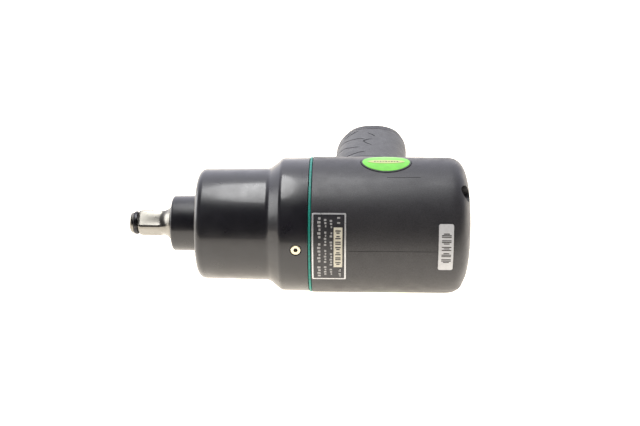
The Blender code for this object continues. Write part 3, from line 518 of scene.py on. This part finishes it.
def trim(name, bm, finish, slot, nodes=(), body="tool_body", **shape):
    """A piece with one of the named finishes."""
    return piece(name, bm, FINISH[finish], body, slot, nodes, **shape)


# ---------------------------------------------------------------- drive and hammer case


def drive_section(x, half, limit, blend=0.0, round_radius=0.0, points=96):
    """A square with its corners cut to a radius, blended toward a circle."""
    section = []
    for k in range(points):
        angle = math.tau * k / points
        square = min(half / max(abs(math.cos(angle)), abs(math.sin(angle))), limit)
        radius = square + (round_radius - square) * blend
        section.append(polar(radius, DRIVE_FLAT_ANGLE + math.degrees(angle), x))
    return section


def jaw(low, high, middle):
    """One striking jaw: a sector that stands out of the anvil's shaft."""
    outline = [polar(6.0, middle - 20.0), polar(6.0, middle + 20.0)]
    outline += [polar(14.6, middle + 28.0 * (1 - k / 8)) for k in range(17)]
    return prism([(point.y, point.z) for point in outline], low, high)


def make_anvil():
    tip = ANVIL_TIP_X
    front, back = RING_GROOVE
    sections = [
        drive_section(tip, DRIVE_HALF, 4.6, 0.7, 4.6),
        drive_section(tip + 0.15, DRIVE_HALF, 5.2, 0.7, 5.2),
        drive_section(tip + 0.5, DRIVE_HALF, 5.8, 0.6, 5.8),
        drive_section(tip + 1.0, DRIVE_HALF, 6.25, 0.5, 6.2),
        drive_section(tip + 1.6, DRIVE_HALF, 6.5, 0.5, 6.45),
        drive_section(front - 0.15, DRIVE_HALF, 6.6, 0.8, 6.5),
        drive_section(front, DRIVE_HALF, 6.3, 1.0, 6.3),
        drive_section(front, DRIVE_HALF, 5.4, 1.0, 5.4),
        drive_section(back, DRIVE_HALF, 5.4, 1.0, 5.4),
        drive_section(back, DRIVE_HALF - 0.5, 6.6),
        drive_section(back + 0.25, DRIVE_HALF - 0.2, 7.1),
        drive_section(back + 0.9, DRIVE_HALF, 7.8),
        drive_section(back + 1.6, DRIVE_HALF, DRIVE_CORNER_RADIUS - 0.1),
        drive_section(back + 2.0, DRIVE_HALF, DRIVE_CORNER_RADIUS),
    ]
    steps = 12
    for step in range(steps + 1):
        part = step / steps
        x = FLARE_X[0] + (FLARE_X[1] - FLARE_X[0]) * part
        radius = 7.0 + 3.6 * part**1.4
        sections.append(drive_section(x, DRIVE_HALF, DRIVE_CORNER_RADIUS, part**0.8, radius))
    rounds = (
        (-86.8, 10.95), (-64.7, 11.0), (-64.7, 13.0), (-63.3, 13.0), (-63.3, 9.5),
        (-28.6, 9.5), (-28.6, 6.0), (-22.8, 6.0), (-22.2, 5.5),
    )
    for x, radius in rounds:
        sections.append(drive_section(x, DRIVE_HALF, radius, 1.0, radius))
    jaws = [jaw(-56.0, -43.5, 0.0), jaw(-42.5, -29.0, 180.0)]
    trim(
        "square_drive_anvil", lofted(sections), "drive_steel", "drive_steel", ["anvil"],
        "anvil_assembly", additions=jaws,
    )


def make_retainers():
    low, high = RING_GROOVE
    bm = sleeve(low + GAP, high - GAP, 6.4, 7.25, 0.4)
    split = placed(block((-120, 5, -0.7), (-100, 9, 0.7)), Matrix.Rotation(0.6, 4, "X"))
    trim(
        "friction_ring", bm, "black_steel", "black_steel", ["socket_retaining_ring"],
        "anvil_assembly", cutters=[split],
    )


def make_hammer_case():
    corners = [
        (NOSE_X, NOSE_BORE, 0.4),
        (NOSE_X, NOSE_RADIUS, 1.7),
        (DRUM_X, NOSE_RADIUS + 0.3, 1.0),
        (DRUM_X, DRUM_RADIUS, 4.8),
        (CONE_X[0] - 0.5, DRUM_RADIUS + 0.75, 5.0),
        (CONE_X[1], FLANGE_RADIUS - 0.1, 4.0),
        (CASE_REAR_X, FLANGE_RADIUS + 0.2, 0.35),
        (CASE_REAR_X, CASE_CAVITY[1], 0.3),
        (CASE_CAVITY[0], CASE_CAVITY[1], 2.5),
        (CASE_CAVITY[0], NOSE_BORE, 0.3),
    ]
    shell = lathe(rounded(corners), ROUND_SIDES, ring=True)
    cutters = [
        outward(rod(28.0, 45.0, 2.35), GREASE_PLUG_X, 0.0),
        outward(rod(38.4, 45.0, 3.5), GREASE_PLUG_X, 0.0),
    ]
    for angle in BOLT_ANGLES:
        cutters.append(shifted(rod(-19.0, 0.0, 2.85), polar(BOLT_PITCH_RADIUS, angle)))
    trim("hammer_case_shell", shell, "case_enamel", "case_enamel", ["hammer_case"], cutters=cutters)
    plug = rounded([
        (31.0, 0.0, 0.0), (31.0, 2.0, 0.2), (38.8, 2.0, 0.0), (38.8, 3.1, 0.2),
        (41.3, 3.1, 0.6), (41.3, 1.2, 0.2), (39.6, 1.1, 0.0), (39.6, 0.0, 0.0),
    ], closed=False)
    hexagon = outward(rod(39.0, 42.0, 1.35, sides=6), GREASE_PLUG_X, 0.0)
    trim(
        "grease_plug_screw", outward(lathe(plug, SMALL_SIDES), GREASE_PLUG_X, 0.0), "brass",
        "brass", ["grease_plug"], cutters=[hexagon],
    )
    # A dark hexagon floating in the plug's hex socket: painted shade in the socket's hollow, not a part of
    # the plug
    dark = outward(rod(39.3, 39.75, 1.0, sides=6), GREASE_PLUG_X, 0.0)
    trim("grease_plug_socket_painted_shade", dark, "black_steel", "brass")


def make_gasket():
    low = CASE_REAR_X + GAP
    high = HOUSING_FRONT_X - GAP
    holes = []
    for angle in BOLT_ANGLES:
        holes.append(shifted(rod(low - 1, high + 1, 3.0), polar(BOLT_PITCH_RADIUS, angle)))
    ring = sleeve(low, high, 30.6, HOUSING_RADIUS - 0.25, 0.3, ROUND_SIDES)
    trim("flange_gasket", ring, "gasket", "gasket", ["case_gasket"], cutters=holes)


# ---------------------------------------------------------------- housing and handle


def handle_at(y):
    """Front edge, rear edge and half thickness of the handle, on a smooth curve down it."""
    rows = np.array(HANDLE_SECTIONS)
    slopes = np.gradient(rows[:, 1:], rows[:, 0], axis=0)
    k = int(np.clip(np.searchsorted(rows[:, 0], y) - 1, 0, len(rows) - 2))
    width = rows[k + 1, 0] - rows[k, 0]
    t = min(max((y - rows[k, 0]) / width, 0.0), 1.0)
    ahead = t * t * (3 - 2 * t)
    value = rows[k, 1:] * (1 - ahead) + rows[k + 1, 1:] * ahead
    value = value + slopes[k] * width * (t**3 - 2 * t**2 + t)
    return value + slopes[k + 1] * width * (t**3 - t**2)


def handle_point(y, angle, inset=0.0):
    """A point on the handle's superellipse section, drawn in by the inset."""
    front, rear, half = handle_at(y)
    a = (rear - front) / 2 - inset
    b = half - inset
    power = 2 / HANDLE_EXPONENT
    c = math.cos(angle)
    s = math.sin(angle)
    x = (front + rear) / 2 + math.copysign(a * abs(c) ** power, c)
    return Vector((x, y, math.copysign(b * abs(s) ** power, s)))


def handle_angles(points=HANDLE_POINTS):
    """Angles that space the section's points evenly round its squarer corners."""
    fine = [handle_point(100.0, math.tau * k / 2000) for k in range(2001)]
    lengths = [0.0]
    for first, second in zip(fine, fine[1:]):
        lengths.append(lengths[-1] + (second - first).length)
    wanted = np.linspace(0.0, lengths[-1], points, endpoint=False)
    return list(np.interp(wanted, lengths, [math.tau * k / 2000 for k in range(2001)]))


HANDLE_ANGLES = handle_angles()


def handle_ring(y, inset=0.0):
    return [handle_point(y, angle, inset) for angle in HANDLE_ANGLES]


def dome_profile(steps=28):
    """The rounded rear of the barrel, as a superellipse from its side to its end."""
    points = []
    last = math.radians(DOME_LAST_ANGLE)
    for k in range(steps + 1):
        angle = last * (k / steps) ** 1.4
        x = DOME_X + DOME_LENGTH * math.sin(angle) ** (2 / DOME_EXPONENT)
        radius = HOUSING_RADIUS * math.cos(angle) ** (2 / DOME_EXPONENT)
        points.append((x, radius))
    return points


def barrel_groove(low, high, degrees, width, depth):
    """A fine straight groove along the barrel, such as the trace of a mould split."""
    half = width / 2
    cutter = block((low, -HOUSING_RADIUS - 1.0, -half), (high, -HOUSING_RADIUS + depth, half))
    return placed(cutter, Matrix.Rotation(-math.radians(degrees), 4, "X"))


def make_housing():
    profile = rounded(
        [
            (HOUSING_FRONT_X, HOUSING_CAVITY[1], 0.0),
            (HOUSING_FRONT_X, HOUSING_RADIUS, 0.5),
            (DOME_X, HOUSING_RADIUS, 0.0),
        ],
        closed=False,
    )[:-1]
    profile += dome_profile()
    profile += [(profile[-1][0], REAR_RECESS[1]), (REAR_RECESS[0], REAR_RECESS[1])]
    profile += [(REAR_RECESS[0], VALVE_BORE), (HOUSING_CAVITY[0], VALVE_BORE)]
    profile += [(HOUSING_CAVITY[0], HOUSING_CAVITY[1])]
    barrel = lathe(profile, ROUND_SIDES, ring=True)
    low, high = GRIP_Y
    inset = GRIP_THICKNESS + GAP
    core = [handle_ring(y) for y in np.linspace(33.0, low, 24)]
    core += [handle_ring(y, inset) for y in np.linspace(low, high, 16)]
    core += [handle_ring(y) for y in (high, CORE_END_Y)]
    cutters = [
        down(rod(41.0, 150.0, 8.7)),
        block((45.5, 20.0, -8.0), (53.0, 150.0, 0.0)),
        block((0.0, 46.2, -8.6), (20.0, 77.5, 8.6)),
        shifted(rod(19.0, 27.0, 5.3), (0, TRIGGER_Y, 0)),
        shifted(rod(19.0, 24.1, 1.85), (0, TRIGGER_PIN_Y, 0)),
        sleeve(92.3, 93.7, 20.0, 24.9, 0.0, ROUND_SIDES),
        shifted(rod(80.0, 90.0, 1.9), (0, -DETENT_PITCH, 0)),
    ]
    for angle in BOLT_ANGLES:
        pocket = [
            (-1.0, 0.0), (-1.0, 2.85), (BOLT_SEAT_X, 2.85), (BOLT_SEAT_X, 5.0),
            (100.0, 5.0), (100.0, 0.0),
        ]
        cutters.append(shifted(lathe(pocket, SMALL_SIDES), polar(BOLT_PITCH_RADIUS, angle)))
    for side in (1, -1):
        x, angle, length, width = BADGE
        cutters.append(wrapped(oval(length + 0.8, width + 0.8), x, side * angle, 41.2, 44.0))
    for angle, start, end in MOULD_SEAMS:
        cutters.append(barrel_groove(start, end, angle, 0.3, 0.22))
    trim(
        "motor_housing_shell", barrel, "housing_composite", "housing_composite",
        ["motor_housing"], additions=[lofted(core)], cutters=cutters,
    )


def section_angle(x, y):
    """The angle that takes handle_point to this distance across the handle."""
    front, rear, _ = handle_at(y)
    across = (x - (front + rear) / 2) / ((rear - front) / 2)
    return math.acos(math.copysign(min(abs(across), 1.0) ** (HANDLE_EXPONENT / 2), across))


def smooth_route(points, steps=8):
    """Points on a smooth curve through these ones."""
    padded = [points[0], *points, points[-1]]
    route = []
    for a, b, c, d in zip(padded, padded[1:], padded[2:], padded[3:]):
        for step in range(steps):
            t = step / steps
            route.append(tuple(
                0.5 * (2 * q + (r - p) * t + (2 * p - 5 * q + 4 * r - s) * t**2
                       + (3 * q - p - 3 * r + s) * t**3)
                for p, q, r, s in zip(a, b, c, d)
            ))
    return [*route, points[-1]]


def groove(route, side, radius, depth):
    """A round groove along a route of (across, down) points on one side of the grip."""
    turned = [(section_angle(x, y), y) for x, y in route]
    path = [handle_point(y, side * angle, depth) for angle, y in smooth_route(turned)]
    sections = []
    for k, point in enumerate(path):
        along = (path[min(k + 1, len(path) - 1)] - path[max(k - 1, 0)]).normalized()
        front, rear, _ = handle_at(point.y)
        upward = Vector((point.x - (front + rear) / 2, 0.0, point.z))
        normal = along.cross(upward).normalized()
        other = along.cross(normal)
        taper = min(1.0, 0.35 + 0.2 * min(k, len(path) - 1 - k))
        section = []
        for turn in range(8):
            angle = math.tau * turn / 8
            ray = normal * math.cos(angle) + other * math.sin(angle)
            section.append(point + ray * radius * taper)
        sections.append(section)
    return lofted(sections)


def make_grip():
    low = GRIP_Y[0] + GAP
    high = GRIP_Y[1] - GAP
    sections = [handle_ring(low, 0.5), handle_ring(low + 0.15, 0.2), handle_ring(low + 0.5)]
    sections += [handle_ring(y) for y in np.linspace(low + 1.5, high - 1.5, 40)]
    sections += [handle_ring(high - 0.5), handle_ring(high - 0.15, 0.2), handle_ring(high, 0.5)]
    inside = lofted([handle_ring(y, GRIP_THICKNESS) for y in np.linspace(low - 1, high + 1, 16)])
    cutters = [inside]
    for side in (1, -1):
        for route in GRIP_GROOVES:
            cutters.append(groove(route, side, 0.62, 0.3))
        cutters.append(groove(GRIP_SLOT, side, 0.85, 0.9))
    trim(
        "grip_sleeve", lofted(sections), "grip_rubber", "grip_rubber", ["handle_grip"],
        cutters=cutters,
    )


def make_exhaust_deflector():
    low = CORE_END_Y + GAP
    sections = [handle_ring(low + 0.3 * k / 3, 0.3 * (1 - k / 3) ** 2) for k in range(4)]
    sections += [handle_ring(y) for y in (145.0, 147.0, 148.0)]
    for k in range(1, 10):
        angle = math.pi / 2 * k / 9
        inset = 3.6 * (1 - math.cos(angle)) ** 1.1
        sections.append(handle_ring(148.0 + (CAP_END_Y - 148.0) * math.sin(angle), inset))
    cutters = [down(rod(140.0, 160.0, 8.7, sides=FINE_SIDES))]
    cutters.append(block((45.0, 140.0, -11.0), (59.0, 147.3, 11.0)))
    for k in range(4):
        x = 46.2 + 3.3 * k
        slot = prism(rectangle(10.0, 17.0, 0.85), x, x + 1.8)
        cutters.append(shifted(slot, (0, 150.0, 0)))
    trim(
        "butt_cap", lofted(sections), "dark_composite", "dark_composite",
        ["exhaust_deflector"], cutters=cutters,
    )


def make_case_bolts():
    for number, angle in enumerate(BOLT_ANGLES, 1):
        seat = BOLT_SEAT_X + GAP
        top = seat + 5.0
        profile = rounded([
            (-17.5, 0.0, 0.0), (-17.5, 2.5, 0.5), (seat, 2.5, 0.0), (seat, 4.25, 0.2),
            (top, 4.25, 0.6), (top, 0.0, 0.0),
        ], closed=False)
        place = polar(BOLT_PITCH_RADIUS, angle)
        socket = shifted(rod(top - 2.6, top + 1.0, 2.3, sides=6), place)
        trim(
            f"cap_screw_{number}", shifted(lathe(profile, SMALL_SIDES), place), "zinc_steel",
            "zinc_steel", [f"case_bolt_{number}"], cutters=[socket],
        )


# ---------------------------------------------------------------- regulator


def make_regulator():
    profile = rounded([
        (88.3, 6.4, 0.2), (88.3, 23.7, 0.3), (92.0, 23.7, 0.4), (92.0, 18.2, 0.2),
        (91.5, 17.8, 0.2), (91.5, 6.4, 0.2),
    ])
    detent = shifted(rod(88.0, 93.0, 1.9), (0, -DETENT_PITCH, 0))
    marks = []
    for angle in (-90, -60, -30, 30, 60, 90):
        mark = block((91.8, -22.8, -0.35), (92.4, -19.6, 0.35))
        marks.append(placed(mark, Matrix.Rotation(-math.radians(angle), 4, "X")))
    trim(
        "rear_valve_cap", lathe(profile, ROUND_SIDES, ring=True), "dark_composite",
        "dark_composite", ["valve_cap"], cutters=[detent, *marks],
    )
    ring = sleeve(92.55, 93.45, 22.4, 24.5, 0.2, ROUND_SIDES)
    gap = block((90.0, 15.0, -4.0), (95.0, 30.0, 4.0))
    trim(
        "snap_ring", ring, "black_steel", "black_steel", ["valve_cap_snap_ring"], cutters=[gap]
    )
    make_knob()
    profile = rounded([
        (88.2, 0.0, 0.0), (88.2, 1.5, 0.2), (95.5, 1.5, 0.0), (95.5, 2.8, 0.2),
        (96.7, 2.8, 0.4), (96.7, 0.0, 0.0),
    ], closed=False)
    slot = block((96.1, -0.5, -3.2), (97.5, 0.5, 3.2))
    trim(
        "knob_centre_screw", lathe(profile, SMALL_SIDES), "zinc_steel", "zinc_steel",
        ["knob_screw"], "regulator", cutters=[slot],
    )


def make_knob():
    """A scalloped knob with a rounded rim and a groove in its face over the detent ball."""
    sections = []
    rim = ((92.3, 0.955), (92.5, 0.985), (92.9, 1.0), (95.6, 1.0), (96.3, 0.985), (96.7, 0.96))
    for x, scale in (*rim, (96.95, 0.92), (97.0, 0.88)):
        section = []
        for k in range(240):
            angle = 1.5 * k
            scallop = 0.7 * math.cos(math.radians(6 * angle))
            section.append(polar((15.3 + scallop) * scale, angle, x))
        sections.append(section)
    cutters = [
        rod(90.0, 94.0, 6.35),
        rod(90.0, 99.0, 1.85),
        rod(95.2, 99.0, 3.15),
        sleeve(90.0, 93.2, DETENT_PITCH - 1.9, DETENT_PITCH + 1.6, 0.0),
        block((96.5, -14.0, -0.6), (98.0, -5.0, 0.6)),
    ]
    trim(
        "regulator_dial", lofted(sections), "black_steel", "dark_composite",
        ["regulator_knob"], "regulator", cutters=cutters,
    )


# ---------------------------------------------------------------- trigger and inlet


def make_trigger():
    back = 14.7
    side = rounded([
        (back, 47.0, 0.3), (-1.0, 47.0, 1.6), (-4.0, 49.5, 1.6), (-2.4, 55.5, 9.0),
        (-1.9, 62.0, 9.0), (-3.6, 73.5, 1.8), (-1.4, 77.0, 1.4), (back, 77.0, 0.3),
    ])
    half = 8.0
    sections = []
    for z, inset in ((-half, 1.6), (-half + 0.25, 0.85), (-half + 0.8, 0.3), (-half + 1.6, 0.0)):
        sections.append((z, inset))
    sections += [(-z, inset) for z, inset in reversed(sections)]
    rings = []
    for z, inset in sections:
        ring = []
        for x, y in side:
            scale_y = 1 - inset / 15.0
            ring.append(Vector((max(x + inset if x < back - 0.5 else x, x), 62 + (y - 62) * scale_y, z)))
        rings.append(ring)
    grooves = []
    for k in range(5):
        y = 52.5 + 4.6 * k
        groove = placed(rod(-7.0, 7.0, 0.55), Matrix.Rotation(math.pi / 2, 4, "Y"))
        grooves.append(shifted(groove, (-2.65, y, 0)))
    cutters = [
        shifted(rod(8.0, 20.0, 2.85), (0, TRIGGER_Y, 0)),
        shifted(rod(2.2, 20.0, 1.85), (0, TRIGGER_PIN_Y, 0)),
    ]
    trim(
        "trigger_lever", lofted(rings), "dark_composite", "dark_composite", ["trigger"],
        "trigger_assembly", cutters=cutters + grooves,
    )


def make_inlet():
    corners = [
        (118.0, 5.7, 0.3), (118.0, 8.3, 0.5), (124.0, 8.3, 0.2), (124.0, 6.9, 0.2),
        (126.4, 6.9, 0.2), (126.4, 8.3, 0.2), (152.4, 8.3, 0.0), (152.4, 5.7, 0.0),
    ]
    across = 22.0 / 2 / math.cos(math.pi / 6)
    hexagon = sleeve(151.4, 158.0, 5.7, across, 0.0, 6)
    trim(
        "inlet_hex_bushing", down(lathe(rounded(corners), FINE_SIDES, ring=True)),
        "machined_steel", "machined_steel", ["inlet_bushing"],
        additions=[down(hexagon)],
        cutters=[down(rod(117.0, 159.0, 5.72, sides=FINE_SIDES)), *hexagon_chamfers()],
        edge=0.25,
    )


def hexagon_chamfers():
    """Cutters that turn off the corners of the inlet's hexagon at both faces."""
    cutters = []
    for face, away in ((158.0, 1.0), (151.4, -1.0)):
        corners = [(face + away * 0.1, 11.0), (face + away * 3, 15.0), (face - away * 1.6, 15.0)]
        cutters.append(down(lathe(corners, FINE_SIDES, ring=True)))
    return cutters


# ---------------------------------------------------------------- badges and labels

LABEL_FOOT = HOUSING_RADIUS + 0.02
LABEL_FACE = HOUSING_RADIUS + 0.5


def make_badges():
    x, angle, length, width = BADGE
    for side, name in ((1, "right"), (-1, "left")):
        top = 42.5 if side == 1 else 41.9
        turn = side * angle
        base = wrapped(oval(length, width), x, turn, 41.6, top, 0.1, 12)
        trim(f"badge_rim_{name}", base, "badge_rim", "badge", [f"side_badge_{name}"])
        field = wrapped(oval(length - 1.7, width - 1.9), x, turn, top - 0.2, top + 0.15, 0.12, 12)
        trim(f"badge_field_{name}", field, "badge", "badge")
        stripe = wrapped(oval(length * 0.74, 5.2), x, turn, top + 0.1, top + 0.36, 0.0, 6)
        trim(f"badge_stripe_{name}", stripe, "badge_stripe", "badge")
        marks = []
        for k in range(9):
            marks.append((1.7 * (k - 4), 0.0, 0.9, 1.1 - 0.3 * (k % 2)))
        lettering = printed(marks, x, turn, top + 0.2, top + 0.4)
        trim(f"badge_marks_{name}", lettering, "badge_rim", "badge")


def plate(length, width, x, degrees, low, high):
    """A small square-edged plate that follows the barrel."""
    steps = max(1, round(width))
    sections = []
    for k in range(steps + 1):
        turn = degrees + math.degrees(width * (k / steps - 0.5) / HOUSING_RADIUS)
        corners = ((low, -0.5), (high, -0.5), (high, 0.5), (low, 0.5))
        sections.append([polar(radius, turn, x + length * side) for radius, side in corners])
    return lofted(sections)


def printed(marks, x, degrees, low, high):
    """Plates from (along, arc, length, width) marks, joined."""
    shapes = []
    for along, arc, length, width in marks:
        turn = degrees + math.degrees(arc / HOUSING_RADIUS)
        shapes.append(plate(length, width, x + along, turn, low, high))
    return join(shapes)


def print_line(along, start, end, height, words):
    """Marks for a line of small print, which spell nothing: blocks of uneven height."""
    heights = (1.0, 0.72, 1.0, 0.58, 0.86)
    unit = (end - start) / (sum(words) + len(words) - 1)
    marks = []
    arc = start + unit / 2
    for word in words:
        for k in range(word):
            size = height * heights[(k + word) % len(heights)]
            marks.append((along + (height - size) / 2, arc, size, unit * 0.62))
            arc += unit
        arc += unit
    return marks


def stroke_groups(along, start, end, height, count, strokes=3):
    """Groups of equal strokes in place of large figures."""
    unit = (end - start) / count
    pitch = unit * 0.72 / strokes
    marks = []
    for group in range(count):
        for stroke in range(strokes):
            arc = start + unit * (group + 0.14) + pitch * (stroke + 0.5)
            size = height * (0.62 if (group + stroke) % 3 == 0 else 1.0)
            marks.append((along, arc, size, pitch * 0.6))
    return marks


def make_rating_label():
    x, angle, length, width = RATING_LABEL
    border = wrapped(rectangle(length, width, 0.8), x, angle, LABEL_FOOT, LABEL_FACE + 0.2)
    trim("rating_label_border", border, "label_silver", "label_film", ["rating_label"])
    field = wrapped(rectangle(length - 1.9, width - 1.9, 0.4), x, angle, LABEL_FACE, LABEL_FACE + 0.24)
    trim("rating_label_field", field, "label_film", "label_film")
    marks = print_line(-5.9, -19.5, 19.5, 1.9, (4, 6, 6))
    marks += print_line(-2.2, -18.0, 18.5, 1.4, (4, 5, 5, 3))
    marks += print_line(1.2, -18.0, 18.0, 1.4, (3, 5, 3, 2, 3))
    marks += print_line(5.4, 15.2, 19.6, 2.4, (1, 1))
    marks += print_line(6.4, -19.2, -13.0, 1.4, (3, 2))
    print_top = LABEL_FACE + 0.28
    trim("rating_label_print", printed(marks, x, angle, LABEL_FACE, print_top), "label_print", "label_film")
    window = plate(5.1, 24.9, x + 5.4, angle + math.degrees(0.85 / HOUSING_RADIUS), LABEL_FACE, print_top)
    trim("rating_label_window", window, "label_window", "label_film")
    figures = stroke_groups(5.4, -10.6, 12.3, 3.2, 7, 2)
    trim(
        "rating_label_figures", printed(figures, x, angle, LABEL_FACE, LABEL_FACE + 0.32),
        "sticker_print", "label_film",
    )


def make_serial_sticker():
    x, angle, length, width = SERIAL_STICKER
    paper = wrapped(rectangle(length, width, 1.2), x, angle, LABEL_FOOT, LABEL_FACE + 0.24)
    trim("serial_sticker_paper", paper, "paper_sticker", "paper_sticker", ["serial_sticker"])
    figures = stroke_groups(0.2, -10.0, 9.6, 5.6, 5)
    trim(
        "serial_sticker_figures", printed(figures, x, angle, LABEL_FACE, LABEL_FACE + 0.28),
        "sticker_print", "paper_sticker",
    )


# ---------------------------------------------------------------- the CAD pieces kept as they are


KEPT_FINISH = {
    "retainer_o_ring": "black_rubber",
    "anvil_bushing": "brass",
    "nose_seal": "black_rubber",
    "hammer_cage": "machined_steel",
    "hammer_front": "machined_steel",
    "hammer_rear": "machined_steel",
    "hammer_pin_1": "zinc_steel",
    "hammer_pin_2": "zinc_steel",
    "rotor_spacer": "zinc_steel",
    "front_end_plate": "cast_aluminium",
    "rear_end_plate": "cast_aluminium",
    "front_bearing_outer_race": "machined_steel",
    "front_bearing_inner_race": "machined_steel",
    "rear_bearing_outer_race": "machined_steel",
    "rear_bearing_inner_race": "machined_steel",
    "rotor": "machined_steel",
    "motor_cylinder": "machined_steel",
    "cylinder_dowel": "zinc_steel",
    "reverse_valve": "machined_steel",
    "detent_ball": "zinc_steel",
    "detent_spring": "zinc_steel",
    "trigger_stem": "zinc_steel",
    "trigger_guide_pin": "zinc_steel",
    "throttle_bushing": "brass",
    "throttle_seat": "brass",
    "throttle_valve": "zinc_steel",
    "throttle_spring": "zinc_steel",
    "inlet_screen": "brass",
    "inlet_o_ring": "black_rubber",
    "muffler_pad": "muffler_felt",
}
KEPT_FINISH.update({f"vane_{number}": "vane_phenolic" for number in range(1, 7)})


def finish_kept_nodes():
    for name, finish in KEPT_FINISH.items():
        node = frame["nodes"][name]
        node.data.materials.clear()
        node.data.materials.append(FINISH[finish])


# ---------------------------------------------------------------- stage, light and camera


FLOOR_GLOW = (1.0, 0.91, 0.78)
FLOOR_STRENGTH = 1.85
WORLD_FRONT = (0.034, 0.030, 0.042)
WORLD_BACK = (1.6, 1.6, 1.78)


def make_floor():
    bm = bmesh.new()
    bmesh.ops.create_grid(bm, x_segments=8, y_segments=8, size=3.0)
    mesh = bpy.data.meshes.new("floor")
    bm.to_mesh(mesh)
    bm.free()
    floor = bpy.data.objects.new("floor", mesh)
    bpy.context.scene.collection.objects.link(floor)
    surface = Surface("floor_light_table", (0.5, 0.5, 0.5), 0.9)
    surface.shader.inputs["Emission Color"].default_value = (*FLOOR_GLOW, 1.0)
    surface.shader.inputs["Emission Strength"].default_value = FLOOR_STRENGTH
    mesh.materials.append(surface.mottle(40, 0.01).grain(2.0, 0.02).material)


def area_light(name, place, target, size, power, colour=(1.0, 1.0, 1.0)):
    data = bpy.data.lights.new(name, "AREA")
    data.shape = "ELLIPSE"
    data.size, data.size_y = size
    data.energy = power
    data.color = colour
    light = bpy.data.objects.new(name, data)
    light.location = place
    light.rotation_euler = (Vector(target) - Vector(place)).to_track_quat("-Z", "Y").to_euler()
    bpy.context.scene.collection.objects.link(light)


def make_world():
    """A room with a bright wall behind the tool and a dark side in front of it."""
    world = bpy.data.worlds.new("studio")
    world.use_nodes = True
    tree = world.node_tree
    place = tree.nodes.new("ShaderNodeTexCoord")
    split = tree.nodes.new("ShaderNodeSeparateXYZ")
    ramp = tree.nodes.new("ShaderNodeValToRGB")
    tree.links.new(place.outputs["Generated"], split.inputs["Vector"])
    tree.links.new(split.outputs["Y"], ramp.inputs["Fac"])
    ramp.color_ramp.elements[0].position = 0.0
    ramp.color_ramp.elements[0].color = (*WORLD_FRONT, 1.0)
    ramp.color_ramp.elements[1].position = 0.8
    ramp.color_ramp.elements[1].color = (*WORLD_BACK, 1.0)
    tree.links.new(ramp.outputs["Color"], tree.nodes["Background"].inputs["Color"])
    bpy.context.scene.world = world


def make_lights():
    make_world()
    area_light("overhead_box", (-0.152, 0.063, 0.85), (-0.152, 0.0, 0.05), (0.245, 0.74), 5.0)
    area_light("overhead_fill", (0.2, 0.2, 0.9), (0.05, 0.0, 0.05), (0.4, 0.3), 1.6)
    area_light("left_panel", (-1.2, 0.25, 0.3), (0.0, -0.03, 0.04), (0.9, 0.6), 7.0)


CAMERA_AZIMUTH = 1.9
CAMERA_ELEVATION = 30.6
CAMERA_DISTANCE = 0.700
CAMERA_LENS = 63.0
CAMERA_ROLL = -0.009
AIM_ALONG = 5.27  # millimetres behind the housing's front face, on the motor axis
AIM_RISE = 6.96  # millimetres above it in the picture


def make_camera():
    azimuth = math.radians(CAMERA_AZIMUTH)
    elevation = math.radians(CAMERA_ELEVATION)
    flat = math.cos(elevation)
    back = Vector((math.sin(azimuth) * flat, -math.cos(azimuth) * flat, math.sin(elevation)))
    turn = (-back).to_track_quat("-Z", "Y") @ Matrix.Rotation(CAMERA_ROLL, 3, "Z").to_quaternion()
    target = TOOL @ Vector((AIM_ALONG, 0, 0)) + turn @ Vector((0, AIM_RISE * MM, 0))
    data = bpy.data.cameras.new("camera")
    data.lens = CAMERA_LENS
    data.sensor_width = 36.0
    data.clip_start = 0.01
    data.clip_end = 20.0
    camera = bpy.data.objects.new("camera", data)
    camera.location = target + back * CAMERA_DISTANCE
    camera.rotation_mode = "QUATERNION"
    camera.rotation_quaternion = turn
    bpy.context.scene.collection.objects.link(camera)
    bpy.context.scene.camera = camera
    bpy.context.scene.view_settings.view_transform = "Standard"


make_anvil()
make_retainers()
make_hammer_case()
make_gasket()
make_housing()
make_grip()
make_exhaust_deflector()
make_case_bolts()
make_regulator()
make_trigger()
make_inlet()
make_badges()
make_rating_label()
make_serial_sticker()
finish_kept_nodes()
make_floor()
make_lights()
make_camera()
